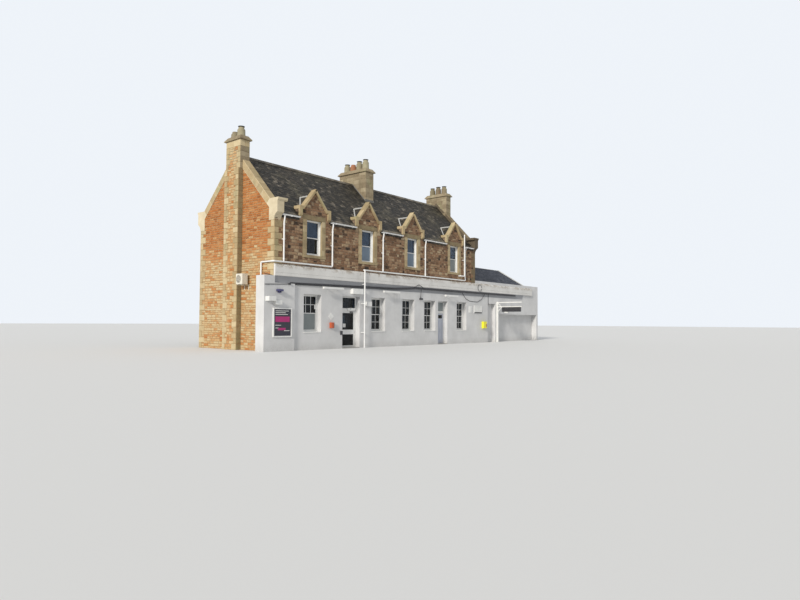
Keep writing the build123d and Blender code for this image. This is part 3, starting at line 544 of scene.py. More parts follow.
def stone_material(name, stops, stain, stain_amount, lichen_amount=0.0, grain_bump=0.5, tinted=True,
                   right_end_shade=0.0):
    """Stones whose shade comes from the tint, with grain, stains, lichen and painted shade at the right end.
    """
    material, tree, shader = new_material(name)
    shader.inputs["Specular IOR Level"].default_value = 0.2
    grain = use_group(tree, grain_group, Coarse_Scale=4.0, Fine_Scale=38.0)
    uneven = stretch_range(tree, grain["Coarse"], 0.3, 0.7, -0.16, 0.16)
    colour = ramp(tree, calculate(tree, "ADD", tint_of(tree, tinted), uneven), stops)
    speckle = stretch_range(tree, grain["Fine"], 0.3, 0.7, 0.0, 0.5)
    colour = blend(tree, speckle, colour, (0.5, 0.5, 0.5), "SOFT_LIGHT")
    stains = use_group(tree, stain_group, Streak_Scale=1.4, Amount=stain_amount)
    colour = laid_over(tree, stains["Mask"], 0.65, colour, stain)
    if lichen_amount:
        lichen = use_group(tree, lichen_group, Patch_Scale=1.2, Amount=lichen_amount)
        colour = laid_over(tree, lichen["Mask"], 0.6, colour, lichen_colour)
    # Painted shade: darker towards the right end of the building.
    if right_end_shade:
        painted_shade = stretch_range(tree, place_along(tree, "X"), right_shade_starts, right_shade_full, 0.0, right_end_shade)
        colour = blend(tree, painted_shade, colour, right_end_shade_colour)
    feed(tree, shader.inputs["Base Color"], colour)
    bump(tree, shader, grain["Height"], grain_bump, 0.02)
    return material


print("soot starts", right_shade_starts, "m along and is full at", right_shade_full)

# %% Stones of each quarry bed
rubble_stops = ((0.0, (0.045, 0.034, 0.026)), (0.25, (0.135, 0.080, 0.048)), (0.55, (0.245, 0.142, 0.082)),
                (0.8, (0.320, 0.215, 0.130)), (1.0, (0.400, 0.315, 0.205)))
gable_stops = ((0.0, (0.270, 0.095, 0.028)), (0.3, (0.400, 0.145, 0.042)), (0.6, (0.450, 0.205, 0.075)),
               (0.85, (0.490, 0.335, 0.170)), (1.0, (0.520, 0.410, 0.240)))
dressed_stops = ((0.0, (0.270, 0.205, 0.115)), (0.5, (0.430, 0.335, 0.195)), (1.0, (0.570, 0.465, 0.290)))
stack_stops = ((0.0, (0.170, 0.128, 0.080)), (0.5, (0.290, 0.235, 0.155)), (1.0, (0.430, 0.365, 0.250)))
quoin_stops = ((0.0, (0.330, 0.245, 0.130)), (0.5, (0.450, 0.350, 0.200)), (1.0, (0.570, 0.475, 0.300)))
cream_stops = ((0.0, (0.50, 0.42, 0.28)), (1.0, (0.68, 0.60, 0.44)))
margin_stops = ((0.0, (0.195, 0.150, 0.088)), (0.5, (0.345, 0.270, 0.160)), (1.0, (0.500, 0.410, 0.260)))
dressed_stain, stack_stain, margin_stain = (0.15, 0.14, 0.08), (0.13, 0.12, 0.07), (0.13, 0.11, 0.06)
# The orange rubble on the faces that look left is partly the stone's colour and partly painted sunlight; the
# brown rubble elsewhere is partly painted shade.
shaded_rubble_finish = stone_material("brown_rubble", rubble_stops, (0.09, 0.065, 0.05), 0.45)
sunlit_gable_finish = stone_material("orange_rubble", gable_stops, (0.30, 0.24, 0.13), 0.4)
# Painted shade darkens these dressed stones towards the right end.
dressed_finish = stone_material("buff_dressed_stone", dressed_stops, dressed_stain, 0.45, 0.5, 0.3,
                                right_end_shade=0.55)
plain_dressed = stone_material("buff_plain_stone", dressed_stops, dressed_stain, 0.5, 0.45, 0.3, tinted=False)
stack_finish = stone_material("stack_stone", stack_stops, stack_stain, 0.6, 0.45, 0.3)
plain_stack = stone_material("stack_plain_stone", stack_stops, stack_stain, 0.6, 0.5, 0.3, tinted=False)
quoin_finish = stone_material("cream_quoins", quoin_stops, (0.24, 0.21, 0.11), 0.5, 0.3, 0.3)
# Painted shade darkens the right skew.
plain_cream = stone_material("cream_plain_stone", cream_stops, (0.26, 0.23, 0.14), 0.45, 0.3, 0.3,
                             tinted=False, right_end_shade=0.93)
margin_finish = stone_material("window_stone", margin_stops, margin_stain, 0.5, 0.35, 0.3)
plain_margin = stone_material("window_plain_stone", margin_stops, margin_stain, 0.5, 0.35, 0.3, tinted=False)
print("stone materials", len(bpy.data.materials))

# %% [markdown]
# ## Mortar, slates and paint
# Lime mortar is rough and darkens in patches. Old slates are nearly black, with a brownish bloom and
# moss low down. Masonry paint goes dirty at its foot and flakes under the edge that the rain wets.
# Each could be one grey with a noise, but what tells them apart is where the change sits, so each
# recipe uses the height above the ground, or the tint, to say where a stain or a patch belongs.


# %% Recipes for mortar and slates
def mortar_material(name, colour, dark):
    """Rough lime mortar between the stones."""
    material, tree, shader = new_material(name, 0.95)
    shader.inputs["Specular IOR Level"].default_value = 0.2
    grain = use_group(tree, grain_group, Coarse_Scale=6.0, Fine_Scale=60.0)
    mixed = blend(tree, stretch_range(tree, grain["Coarse"], 0.35, 0.7), dark, colour)
    stains = use_group(tree, stain_group, Streak_Scale=1.2, Amount=0.4)
    feed(tree, shader.inputs["Base Color"], laid_over(tree, stains["Mask"], 0.6, mixed, dark))
    bump(tree, shader, grain["Height"], 0.6, 0.01)
    return material


def slate_material(name, stops, lichen_amount, moss, tinted=True):
    """Slates with a shade each, weathered edges and patches of lichen and moss."""
    material, tree, shader = new_material(name, 0.62)
    shader.inputs["Specular IOR Level"].default_value = 0.3
    grain = use_group(tree, grain_group, Coarse_Scale=2.2, Fine_Scale=55.0)
    uneven = stretch_range(tree, grain["Coarse"], 0.3, 0.7, -0.2, 0.2)
    colour = ramp(tree, calculate(tree, "ADD", tint_of(tree, tinted), uneven), stops)
    lichen = use_group(tree, lichen_group, Patch_Scale=0.8, Amount=lichen_amount)
    feed(tree, shader.inputs["Base Color"], laid_over(tree, lichen["Mask"], 0.75, colour, moss))
    feed(tree, shader.inputs["Roughness"], stretch_range(tree, grain["Fine"], 0.3, 0.7, 0.5, 0.8))
    bump(tree, shader, grain["Height"], 0.35, 0.008)
    return material


mortar_finish = mortar_material("weathered_mortar", (0.330, 0.250, 0.175), (0.120, 0.080, 0.055))
# The gable's mortar is paler and more orange, partly painted sunlight like its stones.
sunlit_gable_mortar_finish = mortar_material("gable_mortar", (0.440, 0.305, 0.165), (0.300, 0.180, 0.090))
slate_stops = ((0.0, (0.012, 0.011, 0.009)), (0.5, (0.030, 0.026, 0.020)), (0.85, (0.060, 0.051, 0.038)),
               (1.0, (0.170, 0.147, 0.115)))
blue_stops = ((0.0, (0.020, 0.023, 0.034)), (0.5, (0.036, 0.041, 0.056)), (1.0, (0.070, 0.076, 0.095)))
old_slates = slate_material("old_slates", slate_stops, 0.38, (0.125, 0.112, 0.075))
plain_slates = slate_material("old_slate_bed", slate_stops, 0.4, (0.11, 0.10, 0.07), tinted=False)
blue_slates = slate_material("blue_slates", blue_stops, 0.1, (0.10, 0.10, 0.08))
print("materials with mortar and slates", len(bpy.data.materials))

# %% Recipe for paint
dirty_foot_height = 0.45
# The blue-grey is painted shade: the fascia's shadow laid into the colour of the cavetto under it.
bare_stone, cavetto_painted_shade = (0.33, 0.28, 0.22), (0.245, 0.255, 0.280)


def paint_material(name, colour, dirt, stain_amount, roughness=0.7, flaking=0.0, shaded_cavetto=False):
    """Masonry or joinery paint with faint patches, run-down stains, a dirty foot, and painted shade on the
    cavetto under the fascia if asked.
    """
    material, tree, shader = new_material(name, roughness)
    grain = use_group(tree, grain_group, Coarse_Scale=1.1, Fine_Scale=26.0)
    worn = tuple(c * 0.86 for c in colour)
    mixed = blend(tree, stretch_range(tree, grain["Coarse"], 0.35, 0.7), worn, colour)
    stains = use_group(tree, stain_group, Streak_Scale=1.0, Amount=stain_amount)
    mixed = laid_over(tree, stains["Mask"], 0.5, mixed, dirt)
    above_ground = place_along(tree, "Z")
    foot = stretch_range(tree, above_ground, 0.0, dirty_foot_height, 0.55, 0.0)
    foot = calculate(tree, "MULTIPLY", foot, stretch_range(tree, grain["Fine"], 0.35, 0.65))
    mixed = blend(tree, foot, mixed, dirt)
    if flaking:
        chips = use_group(tree, lichen_group, Patch_Scale=3.0, Amount=flaking)
        near_top = stretch_range(tree, above_ground, band_top - 0.28, band_top - 0.06)
        below_top = stretch_range(tree, above_ground, band_top, band_top + 0.02, 1.0, 0.0)
        near_top = calculate(tree, "MULTIPLY", near_top, below_top)
        mixed = blend(tree, calculate(tree, "MULTIPLY", chips["Mask"], near_top), mixed, bare_stone)
    # Painted shade: below the cavetto's top edge the paint turns to the blue-grey of the fascia's shadow.
    if shaded_cavetto:
        under = stretch_range(tree, above_ground, cavetto_top - 0.01, cavetto_top + 0.01, 0.85, 0.0)
        mixed = blend(tree, under, mixed, cavetto_painted_shade)
    feed(tree, shader.inputs["Base Color"], mixed)
    bump(tree, shader, grain["Height"], 0.25, 0.006)
    return material


wall_paint = paint_material("grey_wall_paint", (0.640, 0.640, 0.640), (0.28, 0.27, 0.25), 0.35, 0.75)
# The cornice's cavetto gets painted shade under the fascia.
cornice_paint = paint_material("cornice_paint", (0.700, 0.690, 0.665), (0.26, 0.25, 0.23), 0.5, 0.75,
                               flaking=0.62, shaded_cavetto=True)
white_paint = paint_material("white_joinery_paint", (0.80, 0.80, 0.78), (0.42, 0.40, 0.36), 0.15, 0.35)
door_paint = paint_material("grey_blue_door_paint", (0.50, 0.53, 0.61), (0.2, 0.2, 0.2), 0.15, 0.35)
print("materials with paint", len(bpy.data.materials))

# %% [markdown]
# ## Metal, plastic, glass and clay
# Pipes, boxes and boards come out of a factory, so their colour is even, and what shows their age is
# gloss that has gone dull in places. Sheet glass could be a dark mirror, but then nothing behind it
# would show, so it lets light through and ripples a little. Fired clay ages like stone and uses
# that recipe.


# %% Recipes for made surfaces and glass
def plain_material(name, colour, roughness, metallic=0.0, wear=0.12):
    """A manufactured surface with slight unevenness in colour and gloss."""
    material, tree, shader = new_material(name, roughness)
    shader.inputs["Metallic"].default_value = metallic
    grain = use_group(tree, grain_group, Coarse_Scale=2.5, Fine_Scale=70.0)
    dull = tuple(c * (1 - wear) for c in colour)
    mixed = blend(tree, stretch_range(tree, grain["Coarse"], 0.35, 0.7), dull, colour)
    feed(tree, shader.inputs["Base Color"], mixed)
    spread = stretch_range(tree, grain["Fine"], 0.3, 0.7, roughness - 0.08, roughness + 0.12)
    feed(tree, shader.inputs["Roughness"], spread)
    bump(tree, shader, grain["Fine"], 0.08, 0.002)
    return material


def glass_material(name, colour, roughness=0.03):
    """Old sheet glass that ripples a little."""
    material, tree, shader = new_material(name, roughness)
    shader.inputs["Base Color"].default_value = (*colour, 1)
    shader.inputs["Transmission Weight"].default_value = 1.0
    shader.inputs["IOR"].default_value = 1.3
    bump(tree, shader, noise(tree, place_coordinates(tree), 2.5, 2.0), 0.12, 0.01)
    return material


print("recipes: plain_material, glass_material")

# %% Made surfaces, clay and glass
white_plastic = plain_material("white_plastic", (0.82, 0.82, 0.81), 0.4)
white_metal = plain_material("white_metal", (0.78, 0.78, 0.76), 0.4)
cream_casing = plain_material("cream_casing", (0.70, 0.67, 0.58), 0.5)
dark_metal = plain_material("dark_metal", (0.035, 0.035, 0.04), 0.45)
old_lead = plain_material("old_lead", (0.17, 0.165, 0.15), 0.7, metallic=0.1)
lead_grey = plain_material("lead_grey", (0.52, 0.52, 0.50), 0.6, metallic=0.1)
yellow_metal = plain_material("yellow_metal", (0.86, 0.80, 0.03), 0.35)
red_metal = plain_material("red_metal", (0.50, 0.10, 0.035), 0.4)
steel = plain_material("brushed_steel", (0.60, 0.60, 0.60), 0.3, metallic=1.0)
clay_stops = ((0.0, (0.36, 0.15, 0.08)), (0.35, (0.19, 0.15, 0.10)), (1.0, (0.36, 0.33, 0.22)))
clay = stone_material("weathered_clay", clay_stops, (0.12, 0.10, 0.06), 0.6, 0.4, 0.25)
window_glass = glass_material("window_glass", (0.24, 0.30, 0.36))
upper_pane_glass = glass_material("upper_pane_glass", (0.45, 0.52, 0.60))
door_glass = glass_material("door_glass", (0.10, 0.12, 0.13))
pale_film = plain_material("pale_film", (0.230, 0.260, 0.262), 0.5)
blue_blind = plain_material("blue_blind", (0.18, 0.24, 0.31), 0.6)
lens_blue = plain_material("blue_dome", (0.05, 0.05, 0.14), 0.2)
paper = plain_material("paper", (0.74, 0.74, 0.72), 0.7)
ink = plain_material("dark_print", (0.030, 0.030, 0.045), 0.5)
magenta = plain_material("magenta_print", (0.42, 0.02, 0.16), 0.5)
# This dark colour is also used for painted shade: the fan's dark opening and the shadow line under the
# fascia.
grime_and_shade = plain_material("grime_and_shade", (0.20, 0.185, 0.165), 0.9)
floor_concrete = plain_material("floor_concrete", (0.36, 0.35, 0.33), 0.8)
floor_boards = plain_material("floor_boards", (0.30, 0.20, 0.12), 0.6)
print("materials", len(bpy.data.materials))

# %% [markdown]
# ## Finishes on the construction solids
# A solid whose shape is right only needs its finish. Where stones or slates will cover a wall or
# a roof, the solid behind them gets the mortar or the dark underlay that shows in the joints.

# %% Finish of each solid
finishes = {
    wall_paint: ("end_pier", "front_wall_left", "front_wall_middle", "front_wall_right", "front_wall_head",
                 "wing_front_wall", "wing_infill"),
    cornice_paint: ("cornice",),
    mortar_finish: ("upper_front_wall", "rear_wall", "right_gable_wall", "wing_end_wall", "wing_rear_wall"),
    sunlit_gable_mortar_finish: ("left_gable_wall", "chimney_breast"),
    plain_dressed: ("dormer_copings",),
    plain_margin: ("window_margins",),
    plain_cream: ("gable_skews",),
    plain_stack: ("left_chimney", "middle_chimney", "right_chimney"),
    clay: ("chimney_pots",),
    dark_metal: ("chimney_cowls", "train_board"),
    plain_slates: ("main_roof", "ridge_tiles", "dormer_roofs"),
    blue_slates: ("wing_roof",),
    white_plastic: ("gutters", "rainwater_pipes"),
    white_paint: ("ground_windows", "upper_windows", "hall_door_frame", "hall_door_leaf", "side_door_frame"),
    door_paint: ("side_door_leaf",),
    window_glass: ("ground_glass",),
    upper_pane_glass: ("upper_glass",),
    door_glass: ("hall_door_glass", "side_door_glass"),
    steel: ("hall_door_handle", "side_door_handle"),
    white_metal: ("poster_frame", "notice_board", "wall_lights", "board_bracket"),
    yellow_metal: ("yellow_box",),
    floor_concrete: ("ground_floor",),
    floor_boards: ("first_floor",),
}
for finish, names in finishes.items():
    for name in names:
        nodes[name].data.materials.clear()
        nodes[name].data.materials.append(finish)
bare = sorted(set(nodes) - {name for names in finishes.values() for name in names})
print("solids without a finish", bare)

# %% [markdown]
# ## Rubble walls
# The walls are squared rubble: rows of stones of about the same height, each stone a different
# length, with a rough raised face and pale mortar between them. A picture of stones would look
# flat from the side, so each stone is a real pillow: an uneven outline, a bevel and a raised
# middle. A wall is described once, as a flat region with a sloping top and some openings.


# %% A flat face to work on
def face_of(origin, along, out, up=(0, 0, 1)):
    """A way to turn (along, up, out) on a wall's face or a slope into a point in space."""
    origin, along, out, up = Vector(origin), Vector(along), Vector(out), Vector(up)

    def face(u, v, w):
        return origin + along * u + up * v + out * w

    face.flip = along.cross(up).dot(out) < 0
    return face


def long_face(y, out):
    """An upright face along the building that looks to the front (-1) or to the back (1)."""
    return face_of((0, y, 0), (1, 0, 0), (0, out, 0))


def end_face(x, out):
    """An upright face across the building that looks to the left (-1) or to the right (1)."""
    return face_of((x, 0, 0), (0, 1, 0), (out, 0, 0))


front_face, back_face, wing_rear_face = long_face(front, -1), long_face(back, 1), long_face(wing_back, 1)
left_face, right_face = end_face(house_left, -1), end_face(house_right, 1)
wing_end_face = end_face(wing_right, 1)
print("a point 1 m along and 2 m up the front", tuple(round(c, 2) for c in front_face(1, 2, 0)))


# %% Cutting an outline
def clipped(points, limits):
    """A convex outline cut by half-planes (a, b, c) that keep a * u + b * v <= c."""
    for a, b, c in limits:
        kept = []
        for i, p in enumerate(points):
            q = points[(i + 1) % len(points)]
            side_p, side_q = a * p[0] + b * p[1] - c, a * q[0] + b * q[1] - c
            if side_p <= 0:
                kept.append(p)
            if side_p * side_q < 0:
                t = side_p / (side_p - side_q)
                kept.append((p[0] + t * (q[0] - p[0]), p[1] + t * (q[1] - p[1])))
        points = kept
        if len(points) < 3:
            return []
    return points


print("a square cut across", clipped([(0, 0), (1, 0), (1, 1), (0, 1)], [(1, 1, 1)]))


# %% Dividing a course
def free_patches(u0, u1, v0, v1, holes, narrowest=0.05, lowest=0.045):
    """Parts (left, right, foot, top) of a course that no opening takes."""
    patches = [(u0, u1, v0, v1)]
    for a, b, low, high in holes:
        cut = []
        for left, right, foot, top in patches:
            if b <= left or a >= right or high <= foot or low >= top:
                cut.append((left, right, foot, top))
                continue
            if a > left:
                cut.append((left, a, foot, top))
            if b < right:
                cut.append((b, right, foot, top))
            if low > foot:
                cut.append((max(a, left), min(b, right), foot, low))
            if high < top:
                cut.append((max(a, left), min(b, right), high, top))
        patches = cut
    return [p for p in patches if p[1] - p[0] > narrowest and p[3] - p[2] > lowest]


def split_length(rng, length, shortest, longest):
    """A length cut into uneven parts."""
    parts, left = [], length
    while left > longest:
        part = rng.uniform(shortest, longest)
        parts.append(part)
        left -= part
    parts.append(left)
    if len(parts) > 1 and parts[-1] < shortest:
        parts[-2:] = [(parts[-2] + parts[-1]) / 2] * 2
    return parts


print("two metres of stones", [round(part, 2) for part in split_length(random.Random(1), 2, 0.3, 0.5)])

# %% One stone
bedded, largest_bevel = 0.004, 0.42


def pillow(heap, face, outline, inset, rise, tint, swell=1.25):
    """One stone: its outline on the wall, a bevel up to its face, and a raised middle."""
    middle_u = sum(p[0] for p in outline) / len(outline)
    middle_v = sum(p[1] for p in outline) / len(outline)
    points = [face(u, v, -bedded) for u, v in outline]
    for u, v in outline:
        share = min(largest_bevel, inset / max(0.01, math.hypot(u - middle_u, v - middle_v)))
        points.append(face(u + (middle_u - u) * share, v + (middle_v - v) * share, rise))
    points.append(face(middle_u, middle_v, rise * swell))
    n = len(outline)
    faces = [(i, (i + 1) % n, n + (i + 1) % n, n + i) for i in range(n)]
    faces += [(n + i, n + (i + 1) % n, 2 * n) for i in range(n)]
    heap.add(points, [f[::-1] for f in faces] if face.flip else faces, tint)


trial = Heap()
pillow(trial, front_face, [(0, 0), (0.3, 0), (0.3, 0.2), (0, 0.2)], 0.02, 0.015, 0.5)
print("a square stone has", len(trial.faces), "faces")

# %% Rows of stones
tall_enough, short_enough = 0.15, 0.3


def lay_stones(heap, face, region, rng, holes=(), limits=(), course=(0.13, 0.20), length=(0.16, 0.40),
               joint=0.020, rise=(0.008, 0.022), jitter=0.012, shade=lambda r, v: r.random(), inset=0.020,
               split=0.25):
    """Rows of stones over a region (u0, u1, v0, v1), round its holes and inside its limits."""
    u0, u1, v0, v1 = region
    v = v0
    for tall in split_length(rng, v1 - v0, *course):
        for left, right, foot, top in free_patches(u0, u1, v, v + tall, holes):
            u = left
            for wide in split_length(rng, right - left, *length):
                rows = [(foot, top)]
                if rng.random() < split and top - foot > tall_enough and wide < short_enough:
                    cut = foot + (top - foot) * rng.uniform(0.4, 0.6)
                    rows = [(foot, cut), (cut, top)]
                for low, high in rows:
                    a, b = u + joint / 2, u + wide - joint / 2
                    c, d = low + joint / 2, high - joint / 2
                    rim = [(a, c), ((a + b) / 2, c), (b, c), (b, (c + d) / 2),
                           (b, d), ((a + b) / 2, d), (a, d), (a, (c + d) / 2)]
                    outline = [(p + rng.uniform(-jitter, jitter), max(v0, q + rng.uniform(-jitter, jitter)))
                               for p, q in rim]
                    tone, lift = shade(rng, (low + high) / 2), rng.uniform(*rise)
                    outline = clipped(outline, limits)
                    if len(outline) > 2:
                        pillow(heap, face, outline, inset, lift, tone)
                u += wide
        v += tall


trial = Heap()
lay_stones(trial, front_face, (0, 1, 0, 1), random.Random(1))
print("a square metre of rubble has", len(trial.faces), "faces")


# %% Shades of the stones
def between_0_and_1(tone):
    """A tone kept on the ramp."""
    return min(1, max(0, tone))


def brown_shade(rng, v):
    """Mostly mid brown, with a few black stones and a few pale ones."""
    pick = rng.random()
    if pick < 0.09:
        return rng.uniform(0.02, 0.2)
    if pick > 0.84:
        return rng.uniform(0.8, 1.0)
    return rng.uniform(0.3, 0.8)


def gable_shade(rng, v):
    """Orange stones above, turning cream towards the ground."""
    pale = between_0_and_1((6.0 - v) / 1.4)
    return between_0_and_1(rng.gauss(0.34 + 0.54 * pale, 0.17))


def breast_shade(rng, v):
    """Mostly cream, with a few pink stones."""
    return between_0_and_1(rng.gauss(0.82, 0.16))


def even_shade(rng, v):
    """Sawn blocks from one bed of the quarry."""
    return rng.uniform(0.25, 0.8)


print("a brown stone", round(brown_shade(random.Random(1), 5), 2),
      "a gable stone", round(gable_shade(random.Random(1), 7), 2))

# %% [markdown]
# ## Corner stones
# A mason builds the corners first, from larger squared blocks that are long on one face and short
# on the other in turn. They could be cut out of the rubble afterwards, but that leaves slivers. So
# they are placed first here too, and the rubble gets their places as holes.


# %% Places of the corner stones
def corner_blocks(foot, top, long_first, seed, long=0.52, short=0.27):
    """Blocks (low, high, reach) of one face of a corner, long and short in turn."""
    blocks, low = [], foot
    for i, tall in enumerate(split_length(random.Random(seed), top - foot, 0.27, 0.36)):
        blocks.append((low, low + tall, long if (i % 2 == 0) == long_first else short))
        low += tall
    return blocks


def corner_places(blocks, at, side):
    """The same blocks as places (u0, u1, v0, v1) beside the corner."""
    return [(*sorted((at, at + side * reach)), low, high) for low, high, reach in blocks]


def both_corners(foot, top, half, long, short, middle=0.0):
    """Places of the blocks at the two corners of a breast or a stack."""
    first = corner_blocks(foot, top, True, 69, long, short)
    second = corner_blocks(foot, top, False, 69, long, short)
    return corner_places(first, middle - half, 1) + corner_places(second, middle + half, -1)


def lay_dressed(heap, face, places, rng, joint=0.008, rise=0.012, tones=(0.2, 0.85)):
    """Squared stones with thin joints and flat faces."""
    gap = joint / 2
    for u0, u1, v0, v1 in places:
        outline = [(u0 + gap, v0 + gap), (u1 - gap, v0 + gap), (u1 - gap, v1 - gap), (u0 + gap, v1 - gap)]
        pillow(heap, face, outline, 0.012, rise, rng.uniform(*tones), 1.0)


pier_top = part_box("end_pier")[1].z
quoins = {"front": [], "back": [], "left": [], "right": [], "wing_rear": [], "wing_end": []}
for seed, foot, top, first, first_at, first_side, second, second_at, second_side in (
        (61, pier_top, corbel_z, "front", house_left, 1, "left", front, 1),
        (62, band_top, corbel_z, "front", house_right, -1, "right", front, 1),
        (63, 0, corbel_z, "back", house_left, 1, "left", back, -1),
        (64, 0, corbel_z, "back", house_right, -1, "right", back, -1),
        (65, 0, wing_wall_head, "wing_rear", wing_right, -1, "wing_end", wing_back, -1)):
    quoins[first] += corner_places(corner_blocks(foot, top, True, seed), first_at, first_side)
    quoins[second] += corner_places(corner_blocks(foot, top, False, seed), second_at, second_side)
print({name: len(places) for name, places in quoins.items()})

# %% Corner stones of the walls
stones = Heap()
for name, face in (("front", front_face), ("back", back_face), ("right", right_face),
                   ("wing_rear", wing_rear_face), ("wing_end", wing_end_face)):
    lay_dressed(stones, face, quoins[name], random.Random(67), rise=0.020, tones=(0.0, 0.6))
stones.piece("corner_stones", dressed_finish, "dressed_stone")

# %% Corner stones of the left gable and of the two breasts, with the breasts' flanks in painted shade
breast_depth = 0.29
stones, shaded_flanks = Heap(), Heap()
lay_dressed(stones, left_face, quoins["left"], random.Random(68), rise=0.020)
breast_places = {}
for name, x, half, foot, out in (("left", left_breast, left_breast_half, 0, -1),
                                 ("right", right_breast, right_breast_half, wing_wall_head, 1)):
    breast_places[name] = both_corners(foot, breast_top, half, 0.40, 0.25)
    lay_dressed(stones, end_face(x, out), breast_places[name], random.Random(70), rise=0.020)
    beside = sorted((x, x - out * breast_depth))
    places = [(*beside, low, high) for low, high, reach in corner_blocks(foot, breast_top, True, 69)]
    # The flanks take darker tones: painted shade on the sides of the breasts that face front and back.
    for side in (-1, 1):
        lay_dressed(shaded_flanks, long_face(side * half, side), places, random.Random(71), tones=(-0.25, 0.15))
stones.piece("gable_corner_stones", quoin_finish, "gable_rubble")
shaded_flanks.piece("breast_flanks_in_painted_shade", dressed_finish, "gable_rubble")

# %% [markdown]
# ## Filling in the rubble
# With the corners and the window stones in place, each wall is one call: its face, its region, the
# holes to leave, and the shades that the stones have there.


# %% Front wall of the upper storey
edge_gap = 0.01


def margin_hole(x, sill, head):
    """The place of a window with its dressed stones, as a hole in the rubble."""
    return x - margin_half, x + margin_half, sill - sill_stone, head + lintel


def upper_wall_stones(heap, face, foot, holes, rng):
    """Rubble of a long wall up to the roof, with a gablet over each upper window."""
    under_roof = eaves_z - roof_drop
    whole = (house_left + edge_gap, house_right - edge_gap, foot, under_roof)
    lay_stones(heap, face, whole, rng, holes, shade=brown_shade)
    for x in dormer_xs:
        over = (x - gablet_half, x + gablet_half, under_roof, gablet_foot)
        lay_stones(heap, face, over, rng, [margin_hole(x, upper_sill, upper_head)], shade=brown_shade)
        limits = [(coping_pitch, 1, gablet_apex + coping_pitch * x),
                  (-coping_pitch, 1, gablet_apex - coping_pitch * x)]
        peak = (x - gablet_foot_half, x + gablet_foot_half, gablet_foot, gablet_apex)
        lay_stones(heap, face, peak, rng, (), limits, shade=brown_shade)


front_holes = [margin_hole(x, upper_sill, upper_head) for x in dormer_xs]
stones = Heap()
upper_wall_stones(stones, front_face, band_top, front_holes + quoins["front"], random.Random(11))
stones.piece("front_rubble", shaded_rubble_finish, "rubble")

# %% Rear wall
rear_holes = front_holes + [margin_hole(x, lower_sill, lower_head) for x in dormer_xs]
stones = Heap()
upper_wall_stones(stones, back_face, 0.0, rear_holes + quoins["back"], random.Random(12))
stones.piece("rear_rubble", shaded_rubble_finish, "rubble")

# %% Left gable and its breast
gable_peak = ridge_z - roof_drop
gable_region = (front + edge_gap, back - edge_gap, 0, gable_peak)
gable_limits = [(roof_slope, 1, gable_peak), (-roof_slope, 1, gable_peak)]
breast_region = (-left_breast_half, left_breast_half, 0, breast_top)
breast_rubble = {"course": (0.12, 0.20), "length": (0.2, 0.42), "joint": 0.024, "split": 0,
                 "shade": breast_shade}
stones = Heap()
lay_stones(stones, left_face, gable_region, random.Random(13), [breast_region] + quoins["left"], gable_limits,
           course=(0.10, 0.16), length=(0.20, 0.50), shade=gable_shade, joint=0.024, split=0)
lay_stones(stones, end_face(left_breast, -1), breast_region, random.Random(14), breast_places["left"],
           **breast_rubble)
stones.piece("left_gable_rubble", sunlit_gable_finish, "gable_rubble")

# %% Right gable over the wing
stones = Heap()
inside_wing = (front, wing_back, 0, wing_wall_head + 0.3)
behind_breast = (-right_breast_half, right_breast_half, 0, breast_top)
lay_stones(stones, right_face, gable_region, random.Random(15),
           [inside_wing, behind_breast] + quoins["right"], gable_limits, shade=brown_shade)
lay_stones(stones, end_face(right_breast, 1),
           (-right_breast_half, right_breast_half, wing_wall_head, breast_top), random.Random(16),
           breast_places["right"], shade=brown_shade)
stones.piece("right_gable_rubble", shaded_rubble_finish, "rubble")

# %% Wing walls
wing_holes = [margin_hole(x, lower_sill, lower_head) for x in wing_windows]
stones = Heap()
lay_stones(stones, wing_rear_face, (house_right, wing_right - edge_gap, 0, wing_wall_head), random.Random(17),
           wing_holes + quoins["wing_rear"], shade=brown_shade)
lay_stones(stones, wing_end_face, (front + wall, wing_back - edge_gap, 0, wing_wall_head), random.Random(18),
           quoins["wing_end"], shade=brown_shade)
stones.piece("wing_rubble", shaded_rubble_finish, "rubble")

# %% [markdown]
# ## Dressed stones
# Round the windows, on the copings and on the stacks the stones are sawn square. Their joints are
# thin, so what shows is a slight change of shade from one stone to the next. Lines drawn on the
# solid would be enough from afar, but thin plates with a bevel also catch the light at each joint.


# %% Stones round a window
narrow_jamb = 0.22


def margin_stones(heap, face, x, sill, head, rng):
    """A lintel over two jambs whose stones are wide and narrow in turn."""
    places = [(x - margin_half, x + margin_half, head, head + lintel)]
    for side in (-1, 1):
        low = sill
        for i, tall in enumerate(split_length(rng, head - sill, 0.28, 0.52)):
            reach = margin if i % 2 else narrow_jamb
            edges = sorted((x + side * window_half, x + side * (window_half + reach)))
            places.append((*edges, low, low + tall))
            low += tall
    lay_dressed(heap, face, places[:1], rng, rise=0.010, tones=(0.05, 0.2))
    lay_dressed(heap, face, places[1:], rng, rise=0.010, tones=(0.35, 0.95))


margin_stands = 0.015
margin_front, margin_back = long_face(front - margin_stands, -1), long_face(back + margin_stands, 1)
stones = Heap()
rng = random.Random(21)
for x in dormer_xs:
    margin_stones(stones, margin_front, x, upper_sill, upper_head, rng)
    margin_stones(stones, margin_back, x, upper_sill, upper_head, rng)
    margin_stones(stones, margin_back, x, lower_sill, lower_head, rng)
for x in wing_windows:
    margin_stones(stones, wing_rear_face, x, lower_sill, lower_head, rng)
    block(stones, x - margin_half, x + margin_half, wing_back, wing_back + 0.05,
          lower_sill - sill_stone, lower_sill, 0.008)
stones.piece("window_stones", margin_finish, "dressed_stone")

# %% [markdown]
# ## Copings
# A coping is the row of sloping stones that keeps rain out of the top of a gable. Its solid is one
# long bar here. Each stone could be a solid of its own, but they only differ in shade, so thin
# plates on its top and on its outer edge are enough. They follow the slope on a face of their own.

